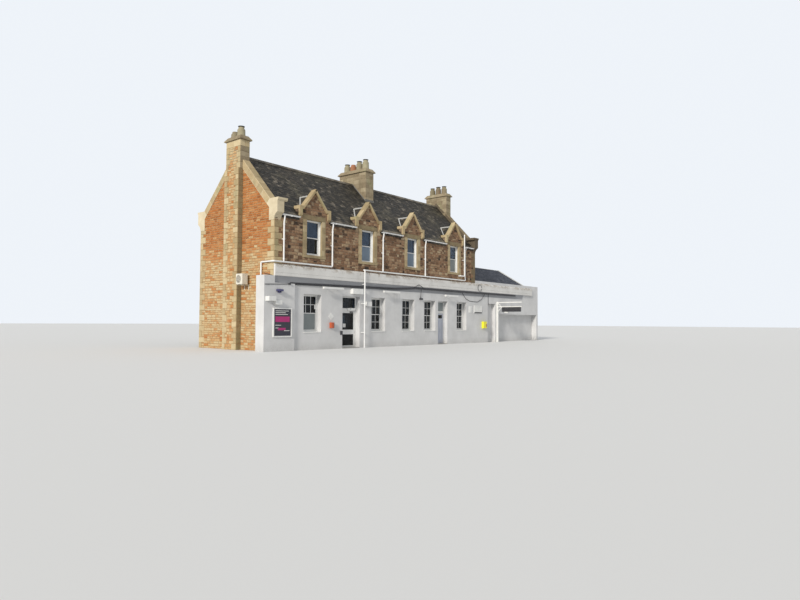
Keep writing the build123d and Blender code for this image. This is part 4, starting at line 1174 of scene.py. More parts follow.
# %% Copings of the gables
skew_top = ridge_z + 0.2 * slope_length
cap_top = corbel_z + 1.13
cap_meet = (skew_top - cap_top) / roof_slope
up_slope = Vector((0, 1, roof_slope)).normalized()
left_stack_half, right_stack_half = 0.64, 0.965
skew_stands, skew_edge = 0.03, 0.34
coping_tones = (0.35, 0.6)
stones = Heap()
for end, x0, x1, stack_half in (
        (-1, house_left - skew_stands, house_left + skew_width, left_stack_half),
        (1, house_right - skew_width, house_right + skew_stands, right_stack_half)):
    run = (cap_meet - stack_half) / up_slope.y
    for side in (-1, 1):
        along, out = (0, -side * up_slope.y, up_slope.z), (0, side * up_slope.z, up_slope.y)
        top = face_of((0, side * cap_meet, cap_top), along, out, (1, 0, 0))
        edge = face_of((x0 if end < 0 else x1, side * cap_meet, cap_top), along, (end, 0, 0), out)
        u = 0.0
        for length in split_length(random.Random(22), run, 0.55, 0.75):
            same_shade = round(u * 90)
            on_top, on_edge = (u, u + length, x0, x1), (u, u + length, -skew_edge, -bedded)
            lay_dressed(stones, top, [on_top], random.Random(same_shade), tones=coping_tones)
            lay_dressed(stones, edge, [on_edge], random.Random(same_shade), rise=0.006, tones=coping_tones)
            u += length
print("stones on the gables", len(stones.faces) // 8)

# %% Copings of the dormers
rake = Vector((coping_half, 0, coping_rise)).normalized()
rake_length = math.hypot(coping_half, coping_rise)
lower_stone, coping_edge = 0.62, 0.105
for x in dormer_xs:
    for side in (-1, 1):
        along, out = (-side * rake.x, 0, rake.z), (side * rake.z, 0, rake.x)
        foot_x, foot_z = x + side * coping_half, coping_apex - coping_rise
        top = face_of((foot_x, 0, foot_z), along, out, (0, 1, 0))
        for end in (-1, 1):
            near, far = sorted((end * coping_front, end * coping_back))
            edge = face_of((foot_x, end * coping_front, foot_z), along, (0, -end, 0), out)
            for u0, u1 in ((0.0, lower_stone), (lower_stone, rake_length)):
                lay_dressed(stones, top, [(u0, u1, near, far)], rng)
                lay_dressed(stones, edge, [(u0, u1, -coping_edge, -bedded)], rng, rise=0.005)
stones.piece("coping_stones", dressed_finish, "dressed_stone")

# %% [markdown]
# ## Chimney stacks
# The stacks are of sawn blocks in regular courses. The left one also has a top course of cream stone,
# and its outer side goes on as the gable does, with cream corners and rubble. One finish for all of
# them would lose that, so each kind of stone goes on a heap of its own.


# %% Faces of a stack
def stack_faces(node, stands_out=0.1):
    """The four faces (face, near, far) of a stack under its cap: front, back, left and right."""
    low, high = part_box(node)
    x0, x1, y0, y1 = low.x + stands_out, high.x - stands_out, low.y + stands_out, high.y - stands_out
    return [(long_face(y0, -1), x0, x1), (long_face(y1, 1), x0, x1),
            (end_face(x0, -1), y0, y1), (end_face(x1, 1), y0, y1)]


top_course = 0.36
left_course_top = stack_top - top_course
left_front, left_back, left_side, left_inner = stack_faces("left_chimney")
sawn = [(left_front, breast_top, left_course_top, 23), (left_back, breast_top, left_course_top, 23),
        (left_inner, breast_top, left_course_top, 23)]
sawn += [(faces, 9.4, stack_top, 24) for faces in stack_faces("middle_chimney")]
sawn += [(faces, breast_top, stack_top, 25) for faces in stack_faces("right_chimney")]
stones = Heap()
for (face, near, far), foot, top, seed in sawn:
    lay_stones(stones, face, (near, far, foot, top), random.Random(seed), course=(0.27, 0.33),
               length=(0.34, 0.62), joint=0.008, rise=(0.006, 0.012), jitter=0.002, shade=even_shade,
               inset=0.008, split=0)
stones.piece("stack_stones", stack_finish, "dressed_stone")

# %% Cream top course and rubble side of the left stack
pale, pink = Heap(), Heap()
for face, near, far in (left_front, left_back, left_side, left_inner):
    middle = (near + far) / 2
    course = [(near, middle, left_course_top, stack_top), (middle, far, left_course_top, stack_top)]
    lay_dressed(pale, face, course, random.Random(26), tones=(0.7, 1.0))
face, near, far = left_side
corners_of_side = both_corners(breast_top, left_course_top, (far - near) / 2, 0.32, 0.22, (near + far) / 2)
lay_dressed(pale, face, corners_of_side, random.Random(27), tones=(0.3, 0.8))
lay_stones(pink, face, (near, far, breast_top, left_course_top), random.Random(28), corners_of_side,
           **breast_rubble)
pale.piece("stack_top_course", quoin_finish, "dressed_stone")
pink.piece("stack_rubble", sunlit_gable_finish, "gable_rubble")

# %% [markdown]
# ## Slates
# A Scottish roof has small slates in rows that get shorter towards the ridge. Each slate lies on
# the one below, so its lower edge stands up by two thicknesses. That little step is what catches
# the light, so each slate is a thin tilted plate with a real lower edge. A bump would do from
# below, but it would leave the eaves and the ridge straight as a ruler.


# %% Laying slates on a slope
slate_gap, slate_lap = 0.003, 1.25
least_row, least_slate = 0.04, 0.04
slate_lifts = (0.012, 0.022)
underside, upper_edge = 0.004, 0.005


def lay_slates(heap, face, region, rng, holes=(), limits=(), first=0.22, last=0.13, wide=(0.17, 0.30),
               ragged=0.014, tones=(0.05, 0.95), mossy_foot=False):
    """Rows of slates whose height goes from first at the eaves to last at the ridge."""
    u0, u1, v0, v1 = region
    v, row = v0, 0
    while v < v1 - least_row:
        tall = first + (last - first) * (v - v0) / (v1 - v0)
        for left, right, foot, high in free_patches(u0, u1, v, v + tall, holes):
            top = min(v1, v + tall * slate_lap) if high > v + tall - 0.001 else high
            u = left - (rng.uniform(0, wide[0]) if row % 2 else 0)
            while u < right:
                width = rng.uniform(*wide)
                a, b = max(left, u + slate_gap), min(right, u + width - slate_gap)
                u += width
                if b - a < least_slate:
                    continue
                drop = rng.uniform(-ragged, ragged) if foot == v and row else 0.0
                outline = clipped([(a, foot + drop), (b, foot + drop * 0.7), (b, top), (a, top)], limits)
                if len(outline) < 3:
                    continue
                lift, tone = rng.uniform(*slate_lifts), rng.uniform(*tones)
                if mossy_foot and row == 0:
                    tone = 0.8 + 0.25 * tone
                n = len(outline)
                points = [face(p, q, lift if q < foot + tall * 0.5 else upper_edge) for p, q in outline]
                points += [face(p, q, -underside) for p, q in outline]
                faces = [tuple(range(n))] + [(n + i, n + (i + 1) % n, (i + 1) % n, i) for i in range(n)]
                heap.add(points, [f[::-1] for f in faces] if face.flip else faces, tone)
        v += tall
        row += 1


def roof_face(side, half, lift=0.0):
    """The slope of the house at the front (-1) or back (1), from the level line half a span away."""
    return face_of((0, side * half, ridge_z - roof_slope * half + lift), (1, 0, 0),
                   (0, side * up_slope.z, up_slope.y), (0, -side * up_slope.y, up_slope.z))


print("the house's slope rises", round(roof_slope, 3), "a metre")

# %% House roof
eave_y = front - 0.08
roof_left, roof_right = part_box("main_roof")[0].x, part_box("main_roof")[1].x
stack_half, stack_length = 0.38, 1.2
below_eaves, past_ridge = -1, 9
roof_holes = [(-stack_half, stack_half, (-stack_length - eave_y) * slope_length, past_ridge)]
for x in dormer_xs:
    roof_holes.append((x - kneeler_tip, x + kneeler_tip, below_eaves, (coping_back - eave_y) * slope_length))
    for side in (-1, 1):
        edges = sorted((x + side * coping_half, x + side * kneeler_tip))
        roof_holes.append((*edges, below_eaves, (kneeler_back - eave_y) * slope_length))
slates = Heap()
for side in (-1, 1):
    lay_slates(slates, roof_face(side, -eave_y), (roof_left, roof_right, 0, -eave_y * slope_length - 0.1),
               random.Random(31 + side), roof_holes, mossy_foot=True)
slates.piece("house_slates", old_slates, "old_slate")

# %% Dormer roofs
slates = Heap()
steep = Vector((1, 0, coping_pitch)).normalized()
dormer_limit = [(roof_slope, -steep.z, -roof_slope * coping_back - (ridge_z - eaves_z))]
ridge_run = (ridge_z - dormer_ridge) / roof_slope
region = (0, -coping_back - ridge_run, 0, dormer_roof_half / steep.x - 0.03)
for x in dormer_xs:
    for side in (-1, 1):
        for end in (-1, 1):
            face = face_of((x + side * dormer_roof_half, -end * coping_back, eaves_z), (0, -end, 0),
                           (side * steep.z, 0, steep.x), (-side * steep.x, 0, steep.z))
            rng = random.Random(round(90 + 7 * x + side + 2 * end))
            lay_slates(slates, face, region, rng, (), dormer_limit, 0.2, 0.15)
slates.piece("dormer_slates", old_slates, "old_slate")

# %% [markdown]
# ## The wing's hipped roof
# A hipped roof also slopes at its end. The slates of each slope stop at the hip, the line where two
# slopes meet, so each slope is a rectangle of slates that is cut along the hips. Newer blue slates
# are thinner and more even, and their finish says that.

# %% Wing roof
wing_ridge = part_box("wing_roof")[1].z
wing_x1, wing_y1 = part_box("wing_roof")[1].x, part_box("wing_roof")[1].y
wing_y0 = front + wall
wing_mid_y = (wing_y0 + wing_y1) / 2
ridge_end = wing_right - 1.7
wing_rise = wing_ridge - wing_wall_head
half_span, hip_run = wing_y1 - wing_mid_y, wing_x1 - ridge_end
side_length, hip_length = math.hypot(half_span, wing_rise), math.hypot(hip_run, wing_rise)
short_of_ridge = 0.03
slates = Heap()
side_limit = [(side_length, hip_run, wing_x1 * side_length)]
for side, y in ((-1, wing_y0), (1, wing_y1)):
    up = Vector((0, -side * half_span, wing_rise)).normalized()
    out = Vector((0, side * wing_rise, half_span)).normalized()
    lay_slates(slates, face_of((0, y, wing_wall_head), (1, 0, 0), out, up),
               (house_right, wing_x1, 0, side_length - short_of_ridge), random.Random(41 + side), (),
               side_limit)
up = Vector((-hip_run, 0, wing_rise)).normalized()
out = Vector((wing_rise, 0, hip_run)).normalized()
hip_limits = [(side * hip_length, half_span, half_span * hip_length) for side in (1, -1)]
lay_slates(slates, face_of((wing_x1, wing_mid_y, wing_wall_head), (0, 1, 0), out, up),
           (-half_span, half_span, 0.03, hip_length - short_of_ridge), random.Random(44), (), hip_limits)
slates.piece("wing_slates", blue_slates, "blue_slate")

# %% [markdown]
# ## Ridges and lead
# Stone caps close the ridge of the house. Lead closes the rest: rolls on the small ridges and hips,
# valleys beside the dormers, and flashings round the stack. Sheet lead is dressed over wooden rolls,
# so from outside it reads as a round bar, and a tube is all that it needs.

# %% Ridge caps
caps = Heap()
cap_half, cap_length, cap_lift = 0.17, 0.45, 0.06
for side in (-1, 1):
    face = roof_face(side, cap_half, cap_lift)
    for x0, x1 in ((house_left + skew_width, -stack_half), (stack_half, house_right - skew_width)):
        count = round((x1 - x0) / cap_length)
        step = (x1 - x0) / count
        places = [(x0 + i * step, x0 + i * step + step, 0.0, cap_half * slope_length) for i in range(count)]
        lay_dressed(caps, face, places, random.Random(45), joint=0.01, rise=0.012, tones=(0.85, 1.1))
caps.piece("ridge_caps", old_slates, "old_slate")

# %% Lead rolls and valleys of the dormers
lead = Heap()
above_slates = 0.015
behind_coping_z = ridge_z + roof_slope * coping_back
valley_foot = dormer_roof_half - (behind_coping_z - eaves_z) / coping_pitch
for x in dormer_xs:
    for end in (-1, 1):
        ridge_point = (x, end * ridge_run, dormer_ridge + above_slates)
        tube(lead, [(x, -end * coping_back, dormer_ridge + above_slates), ridge_point], 0.05)
        for side in (-1, 1):
            foot = (x + side * valley_foot, -end * coping_back, behind_coping_z + above_slates)
            tube(lead, [ridge_point, foot], 0.045, 6)
lead.piece("lead_work", lead_grey, "white_metal")

# %% Flashings of the middle stack
flashings = Heap()
edge_z = ridge_z - roof_slope * stack_length
for side in (-1, 1):
    block(flashings, -stack_half - 0.04, stack_half + 0.04, side * (stack_length - 0.01),
          side * (stack_length + 0.03), edge_z - 0.02, edge_z + 0.14, 0.005)
    x = side * (stack_half + 0.012)
    for end in (-1, 1):
        tube(flashings, [(x, end * stack_length, edge_z + 0.03), (x, 0, ridge_z + 0.06)], 0.035, 6)
flashings.piece("stack_flashings", old_lead, "white_metal")

# %% Rolls on the wing's ridge and hips
rolls = Heap()
roll_z, hip_foot_in = wing_ridge - 0.03, 0.08
tube(rolls, [(house_right, wing_mid_y, roll_z), (ridge_end, wing_mid_y, roll_z)], 0.05)
for y in (wing_y0 + hip_foot_in, wing_y1 - hip_foot_in):
    foot = (wing_x1 - hip_foot_in, y, wing_wall_head + 0.06)
    tube(rolls, [(ridge_end, wing_mid_y, wing_ridge), foot], 0.065)
rolls.piece("wing_rolls", lead_grey, "white_metal")

# %% [markdown]
# ## Window bars and panes
# The ground-floor sashes are divided by thin glazing bars into six panes each. The left window has
# a plain pale pane below. The upper windows have one sheet of glass in each sash. A pattern in the
# glass could stand for the bars, but real bars throw the small shadows that make a window look deep.

# %% Glazing bars
stile, foot_rail, half_meeting_rail, half_bar = 0.095, 0.125, 0.0225, 0.014
let_in = 0.01


def sash_bars(heap, x0, x1, face_y, out, lower=True):
    """Two upright bars and one level bar in each sash of a ground-floor window."""
    left, right = x0 + stile, x1 - stile
    middle = (lower_sill + lower_head) / 2
    sashes = [(middle + half_meeting_rail, lower_head - stile, 0.015)]
    if lower:
        sashes.append((lower_sill + foot_rail, middle - half_meeting_rail, 0.060))
    for foot, top, setback in sashes:
        depth = face_y + out * (setback + 0.008), face_y + out * (setback + 0.038)
        for i in (1, 2):
            x = left + (right - left) * i / 3
            block(heap, x - half_bar, x + half_bar, *depth, foot - let_in, top + let_in, 0.004)
        level = (foot + top) / 2
        block(heap, left - let_in, right + let_in, *depth, level - half_bar, level + half_bar, 0.004)


bars = Heap()
for i, (x0, x1) in enumerate(ground_windows):
    sash_bars(bars, x0, x1, front + 0.34, 1, i > 0)
for x, y in [(x, back) for x in dormer_xs] + [(x, wing_back) for x in wing_windows]:
    sash_bars(bars, x - window_half, x + window_half, y - 0.18, -1)
bars.piece("window_bars", white_paint, "white_timber")

# %% Window boards and linings
linings = Heap()
for x in dormer_xs:
    for side in (-1, 1):
        block(linings, x + side * (window_half - 0.012), x + side * (window_half + 0.002),
              front + 0.095, front + 0.18, upper_sill, upper_head, 0.003)
for x0, x1 in ground_windows:
    block(linings, x0 + 0.01, x1 - 0.01, front - 0.03, front + 0.335,
          lower_sill - 0.045, lower_sill + 0.01, 0.006)
linings.piece("window_linings", white_paint, "white_timber")

# %% [markdown]
# ## What shows behind the glass
# Some panes are pale, because a sheet is fixed behind them, and most upper ones have a blind that is
# drawn part of the way. Glass of another colour would do for one window, but a thin sheet just
# behind the pane keeps the reflection in front of it.


# %% Pale panes and blinds
def sheet(heap, x0, x1, y, z0, z1):
    """A sheet of 3 mm, from its front."""
    block(heap, x0, x1, y, y + 0.003, z0, z1, 0.001)


behind_upper, behind_rear, blind_half = front + 0.236, back - 0.303, 0.44
films, blinds = Heap(), Heap()
sheet(films, ground_windows[0][0] + 0.09, ground_windows[0][1] - 0.09, front + 0.412, 1.09, 1.965)
sheet(films, side_doorway[0] + 0.06, side_doorway[1] - 0.06, front + 0.345, 2.31, 2.94)
sheet(films, dormer_xs[-1] - blind_half, dormer_xs[-1] + blind_half, behind_upper, 5.22, 6.06)
for x, foot in zip(dormer_xs, (6.10, 5.22, 5.22, 6.10)):
    sheet(blinds, x - blind_half, x + blind_half, behind_upper, foot, 6.95)
    sheet(blinds, x - blind_half, x + blind_half, behind_rear, 2.0, 2.92)
films.piece("pale_panes", pale_film, "glass")
blinds.piece("blinds", blue_blind, "glass")

# %% [markdown]
# ## Chimney pots and cowls
# A pot is thrown on a wheel, so it is turned here: broad walls, a shoulder and a short neck. Most
# have a flat cap on legs that keeps out rain and birds.

# %% Turned pots
pot_profile = ((0.115, 0.0), (0.228, 0.0), (0.235, 0.01), (0.232, 0.06), (0.218, 0.075))
neck_profile = ((0.213, -0.16), (0.205, -0.135), (0.165, -0.075), (0.152, -0.06), (0.155, -0.012),
                (0.150, 0.0), (0.120, 0.0), (0.115, -0.01))
cap_profile = ((0.165, 0.030), (0.183, 0.036), (0.185, 0.052), (0.10, 0.066), (0.02, 0.070))
leg_reach, half_leg, pot_step = 0.135, 0.01, 0.56
pot_rows = (((house_left + 0.1, 0.28), ((0.50, True, 0.8), (0.34, False, 0.6))),
            ((0.0, 0.84), ((0.60, True, 0.9), (0.56, True, 0.7), (0.47, False, 0.1), (0.52, True, 0.8))),
            ((house_right - 0.1, 0.56), ((0.54, True, 0.5), (0.56, True, 0.4), (0.52, True, 0.55))))
pots, cowls = Heap(), Heap()
foot = stack_top + stack_cap
for (x, reach), row in pot_rows:
    for i, (height, cowled, tone) in enumerate(row):
        y, top = -reach + pot_step * i, foot + height
        profile = [(r, foot + z) for r, z in pot_profile] + [(r, top + z) for r, z in neck_profile]
        lathe(pots, profile, x, y, tone, closed=True)
        if not cowled:
            continue
        lathe(cowls, [(r, top + z) for r, z in cap_profile], x, y)
        for t in circle(4):
            leg_x, leg_y = x + leg_reach * math.cos(t), y + leg_reach * math.sin(t)
            block(cowls, leg_x - half_leg, leg_x + half_leg, leg_y - half_leg, leg_y + half_leg,
                  top, top + 0.034, 0.002)
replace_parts(pots.piece("turned_pots", clay, "clay", smooth=True), "chimney_pots")
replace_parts(cowls.piece("flat_cowls", dark_metal, "dark_metal"), "chimney_cowls")

# %% [markdown]
# ## Rainwater pipes
# Pipes come in lengths of about two metres, and each length ends in a collar that is fixed to
# the wall with a clip. A swan neck brings the pipe back from the gutter to the wall. A curve object
# with a bevel would make the pipe too, but collars and clips then need a second way, and one heap
# takes them all.

# %% Pipes, collars and clips
pipes = Heap()
pipe_radius, pipe_bend = 0.042, 0.07
gutter_y, pipe_y = front - 0.142, front - 0.092
rim_z = eaves_z - 0.13
collector_z = band_top + 0.1
collar_profile = ((0.043, -0.04), (0.052, -0.036), (0.052, 0.03), (0.057, 0.034), (0.057, 0.045),
                  (0.043, 0.05))


def pipe(route, heap=pipes, bend=pipe_bend):
    """A round pipe with rounded corners."""
    tube(heap, rounded(route, bend), pipe_radius, 16)


def swan_neck(x, side):
    """The route out of a gutter and back to the wall, at the front (-1) or the back (1)."""
    outer, inner = -side * gutter_y, -side * pipe_y
    return [(x, outer, rim_z - 0.055), (x, outer, rim_z - 0.222), (x, inner, rim_z - 0.382)]


def collar(x, y, z):
    """A socket where two lengths of pipe meet."""
    lathe(pipes, [(r, z + above) for r, above in collar_profile], x, y, steps=16)


def clip(x, y, z, wall_y, heap=pipes):
    """Two ears that hold a collar off the wall."""
    block(heap, x - 0.075, x + 0.075, wall_y, y, z - 0.02, z + 0.02, 0.004)


print("collectors run at", round(collector_z, 2))

# %% Downpipes, the two long ones and the vent pipe
stops = [house_left + skew_width]
for x in dormer_xs:
    stops += [x - kneeler_tip, x + kneeler_tip]
spans = list(zip(stops[0::2], stops[1::2] + [house_right - skew_width]))
gable_x, gable_y = house_left - 0.092, front + 0.92
tall_x, tall_y = hall_doorway[1] + 0.19, front - 0.222
tails = {1: [(gable_x, pipe_y, collector_z), (gable_x, gable_y, collector_z), (gable_x, gable_y, 0.0)],
         4: [(tall_x, pipe_y, collector_z), (tall_x, tall_y, collector_z), (tall_x, tall_y, 0.0)]}
for i, (start, stop) in enumerate(spans):
    x = start + 0.15
    pipe(swan_neck(x, -1) + [(x, pipe_y, collector_z)] + tails.get(i, []))
    for z in (6.55, 5.75, 4.75):
        collar(x, pipe_y, z)
    clip(x, pipe_y, 5.78, front)
    pipe(swan_neck(x, 1) + [(x, -pipe_y, 0.0)])
    for z in (6.5, 4.7, 2.9, 1.1):
        collar(x, -pipe_y, z)
        clip(x, -pipe_y, z + 0.03, back)
for z in (3.75, 2.6, 0.9):
    collar(gable_x, gable_y, z)
    clip(gable_x, gable_y, z, gable_y - 0.05)
    collar(tall_x, tall_y, z)
    clip(tall_x, tall_y, z, front)
vent_foot_x, vent_x = dormer_xs[-1] + window_half, dormer_xs[-1] + 1.03
vent_y, vent_z = front - 0.204, upper_sill - 0.22
pipe([(vent_foot_x, front, vent_z), (vent_foot_x, vent_y, vent_z), (vent_x, vent_y, vent_z),
      (vent_x, vent_y, eaves_z + 0.75)])
for z in (5.3, 6.6):
    collar(vent_x, vent_y, z)
clip(vent_x, vent_y, 6.08, front)
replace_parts(pipes.piece("downpipes", white_plastic, "white_pipe"), "rainwater_pipes")

# %% Gutter rims and brackets
rims = Heap()
half_strap, bracket_step = 0.014, 0.8
for x0, x1 in spans:
    for side in (-1, 1):
        outer = -side * (gutter_y - 0.058)
        tube(rims, [(x0, outer, rim_z), (x1, outer, rim_z)], 0.009)
        count = max(1, round((x1 - x0) / bracket_step))
        for i in range(count):
            x = x0 + (x1 - x0) * (i + 0.5) / count
            ends = x - half_strap, x + half_strap
            block(rims, *ends, -side * (gutter_y - 0.066), -side * (front - 0.005),
                  rim_z - 0.078, rim_z - 0.060, 0.003)
            block(rims, *ends, -side * (gutter_y - 0.072), -side * (gutter_y - 0.062),
                  rim_z - 0.07, rim_z + 0.012, 0.002)
rims.piece("gutter_rims", white_plastic, "white_pipe")

# %% [markdown]
# ## Doors
# The doors keep their solids. What is added rides on the body it belongs to, so that a closer
# swings with its leaf and its arm stays on the frame.

# %% Closer and lock of the hall door
leaf_y = front + 0.34
hall_left, hall_right = hall_doorway
on_leaf = Heap()
block(on_leaf, hall_right - 0.495, hall_right - 0.235, leaf_y - 0.045, leaf_y + 0.002, 2.065, 2.125, 0.006)
block(on_leaf, hall_left + 0.115, hall_left + 0.155, leaf_y - 0.012, leaf_y + 0.002, 1.30, 1.36, 0.003)
on_leaf.piece("hall_closer", dark_metal, "dark_metal", "hall_door")
arm = Heap()
tube(arm, [(hall_right - 0.375, leaf_y - 0.05, 2.135), (hall_right - 0.235, leaf_y - 0.05, 2.155),
           (hall_right - 0.125, leaf_y - 0.03, 2.175)], 0.007)
arm.piece("closer_arm", steel, "steel")


# %% Pull handles, and a bare note on the glass
def pull_handle(doorway):
    """A heap with an upright bar that bends back to the leaf at both ends."""
    heap = Heap()
    x, fixed_y, grip_y = doorway[0] + 0.126, leaf_y + 0.003, leaf_y - 0.06
    route = [(x, fixed_y, 0.9), (x, grip_y, 0.9), (x, grip_y, 1.2), (x, fixed_y, 1.2)]
    tube(heap, rounded(route, 0.03), 0.011, 16)
    return heap


pull = pull_handle(hall_doorway)
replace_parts(pull.piece("hall_pull", steel, "steel", "hall_door", smooth=True), "hall_door_handle")
pull = pull_handle(side_doorway)
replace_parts(pull.piece("side_pull", steel, "steel", "side_door", smooth=True), "side_door_handle")
notes = Heap()
block(notes, hall_left + 0.385, hall_left + 0.615, leaf_y + 0.014, leaf_y + 0.0175, 1.21, 1.42, 0.001)
notes.piece("hall_note", paper, "white_metal", "hall_door")

# %% [markdown]
# ## Signs, lamps and small boxes
# A station collects fittings. Each is a small solid fixed to the wall, with no lettering: boards are
# bare, and the poster keeps only blocks of colour. They are placed from the corner, the window or
# the board that they belong to, so that none of them floats when that one moves.

# %% Heaps for the fittings
boxes = {kind: Heap() for kind in ("white", "dark", "blue", "red", "paper", "ink", "magenta")}


def fitting(kind, x0, x1, wall_y, depth, z0, z1, chamfer=0.005):
    """A box on a wall's face, let in by 3 mm."""
    block(boxes[kind], x0, x1, wall_y - depth, wall_y + 0.003, z0, z1, chamfer)


print("kinds of fitting", sorted(boxes))

# %% On the pier: two housings, a dome camera and the poster
pier_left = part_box("end_pier")[0].x
poster_low, poster_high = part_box("poster_frame")
sheet_y = pier_front - 0.03
print_y = sheet_y - 0.006
fitting("white", pier_left + 0.08, pier_left + 0.54, pier_front, 0.30, 2.55, 2.79, 0.01)
fitting("white", pier_left + 0.58, pier_left + 0.99, pier_front, 0.22, 2.38, 2.60, 0.01)
fitting("blue", pier_left + 0.74, pier_left + 1.06, pier_front, 0.24, 3.06, 3.17, 0.02)
fitting("blue", pier_left + 0.82, pier_left + 0.98, pier_front, 0.18, 2.98, 3.07, 0.03)
fitting("ink", poster_low.x + 0.058, poster_high.x - 0.058, sheet_y, 0.006,
        poster_low.z + 0.06, poster_high.z - 0.06, 0.001)
for kind, left, right, foot, height in (
        ("magenta", 0.15, 1.07, 0.77, 0.28), ("magenta", 0.31, 0.81, 0.35, 0.12),
        ("paper", 0.15, 1.01, 1.32, 0.03), ("paper", 0.15, 0.81, 1.23, 0.03),
        ("paper", 0.15, 0.95, 1.14, 0.03), ("paper", 0.15, 0.51, 0.59, 0.03),
        ("paper", 0.15, 0.39, 0.45, 0.03), ("paper", 0.71, 1.07, 0.31, 0.03)):
    z = poster_low.z + foot
    fitting(kind, poster_low.x + left, poster_low.x + right, print_y, 0.003, z, z + height, 0.001)
print("the poster is", round(poster_high.x - poster_low.x, 2), "m wide")

# %% Round the hall door: a white box, a sticker, a red box with painted shade on its right side, a lock box and the door opener
first_window, second_window = ground_windows[0][1], ground_windows[1][0]
red_edge = hall_left - 0.805
fitting("white", second_window - 0.515, second_window - 0.095, front, 0.14, 2.46, 2.74, 0.008)
fitting("white", first_window - 0.20, first_window - 0.11, front + 0.355, 0.003, 2.22, 2.44, 0.001)
fitting("red", red_edge - 0.21, red_edge, front, 0.16, 1.17, 1.49, 0.012)
# The dark strip on the red box's right side is painted shade of that side.
fitting("dark", red_edge, red_edge + 0.04, front, 0.15, 1.18, 1.48, 0.008)
fitting("dark", hall_left - 0.185, hall_left - 0.045, front, 0.09, 0.79, 1.01, 0.01)
fitting("white", hall_right - 0.755, hall_right - 0.115, front + 0.345, 0.115, 2.185, 2.335, 0.015)
fitting("dark", hall_right - 0.575, hall_right - 0.495, front + 0.232, 0.004, 2.27, 2.30, 0.001)
print("the red box ends at", round(red_edge, 2))

# %% Further right: a camera, a plate, the notice board and a label; and a joint box on the pier
third_window, last_window = ground_windows[2][1], ground_windows[4][1]
board_low, board_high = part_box("notice_board")
yellow_low, yellow_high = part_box("yellow_box")
fitting("dark", third_window + 0.52, third_window + 0.76, front, 0.16, 3.02, 3.13, 0.02)
fitting("white", last_window + 0.33, last_window + 0.69, front, 0.03, 2.26, 2.74, 0.004)
fitting("paper", board_low.x + 0.045, board_high.x - 0.045, front - 0.026, 0.004,
        board_low.z + 0.11, board_high.z - 0.045, 0.001)
fitting("dark", board_low.x + 0.005, board_high.x - 0.005, front - 0.038, 0.010,
        board_low.z + 0.005, board_low.z + 0.08, 0.002)
fitting("red", yellow_high.x - 0.12, yellow_high.x - 0.02, yellow_low.y + 0.002, 0.008,
        yellow_low.z + 0.11, yellow_low.z + 0.33, 0.003)
fitting("dark", pier_left + 1.54, pier_left + 1.66, pier_front, 0.07, 3.43, 3.52, 0.006)
for kind, name, material, slot in (
        ("white", "wall_boxes", white_metal, "white_metal"), ("blue", "dome_camera", lens_blue, "dark_metal"),
        ("dark", "dark_boxes", dark_metal, "dark_metal"), ("red", "red_boxes", red_metal, "yellow_metal"),
        ("paper", "bare_papers", paper, "white_metal"), ("ink", "dark_papers", ink, "dark_metal"),
        ("magenta", "poster_block", magenta, "white_metal")):
    boxes[kind].piece(name, material, slot)

# %% [markdown]
# ## The outdoor unit
# A cooling unit is a casing with one round grille. The grille could be a picture of wires on a disc,
# but wires that stand clear of the opening show their depth from the side. So a flat dark disc,
# painted shade of the hollow behind the grille, fills the opening, and thin tubes make its rings and
# spokes.

# %% Outdoor unit of the cooling on the left gable
unit, grille = Heap(), Heap()
unit_x, unit_y, unit_z = -10.02, -1.135, 3.75
half_width, half_height, arm_reach = 0.275, 0.28, 0.18
fan_y = unit_y + 0.03
rings_of_wire = (0.04, 0.08, 0.12, 0.16, 0.205)
turns = circle(32)


def on_grille(radius, t, proud):
    """A point of the round grille, proud of the casing's front."""
    return unit_x - proud, fan_y + radius * math.cos(t), unit_z + radius * math.sin(t)


block(unit, unit_x, unit_x + 0.36, unit_y - half_width, unit_y + half_width,
      unit_z - half_height, unit_z + half_height, 0.015)
for y in (unit_y - arm_reach, unit_y + arm_reach):
    block(unit, unit_x + 0.02, house_left, y - 0.02, y + 0.02, unit_z - 0.32, unit_z - half_height, 0.004)
    block(unit, house_left - 0.04, house_left, y - 0.02, y + 0.02, unit_z - 0.55, unit_z - 0.30, 0.004)
# The dark disc is painted shade: it fills the opening where the hollow behind the grille would be dark.
join_rings(grille, [[on_grille(0.20, t, proud) for t in turns] for proud in (-0.002, 0.004)])
grille.piece("fan_opening_shade", grime_and_shade, "dark_metal")
for radius in rings_of_wire:
    ring = [on_grille(radius, t, 0.008) for t in turns]
    tube(unit, ring + ring[:1], 0.0055, 6)
for t in turns[::4]:
    tube(unit, [on_grille(0.03, t, 0.012), on_grille(0.21, t, 0.012)], 0.004, 6)
unit.piece("outdoor_unit", cream_casing, "white_metal")

# %% [markdown]
# ## A diamond sign, lamp lenses and cables
# The sign is a square plate that stands on its corner. Each lamp box gets a pale lens below, where
# its light comes out. Cables are clipped under the cornice in two bundles and drop to what they
# feed. They are fixed all along, so they are tubes with rounded corners and need no slack.

# %% Diamond sign by the hall door
diamond = Heap()
sign_face = face_of((hall_left - 0.9, front, 1.82), (1, 0, 0), (0, -1, 0))
sign_half, sign_depth = 0.21, 0.012
outline = [(sign_half, 0), (0, sign_half), (-sign_half, 0), (0, -sign_half)]
join_rings(diamond, [[sign_face(u, v, w) for u, v in outline] for w in (0.0, sign_depth)])
diamond.piece("diamond_sign", white_metal, "white_metal")

# %% Lenses of the three long lamps and of the one on the bracket
lamps = Heap()
half_lamp = 0.73
for x in (ground_windows[0][1] + 0.6, ground_windows[1][1] + 0.25, side_doorway[1] + 0.06):
    block(lamps, x - half_lamp, x + half_lamp, front - 0.392, front - 0.268, 3.322, 3.334, 0.003)
post_x = (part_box("train_board")[0].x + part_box("train_board")[1].x) / 2
block(lamps, post_x - 0.06, post_x + 0.06, front - 1.0, front - 0.7, 2.30, 2.392, 0.005)
lamps.piece("lamp_lenses", paper, "white_metal")

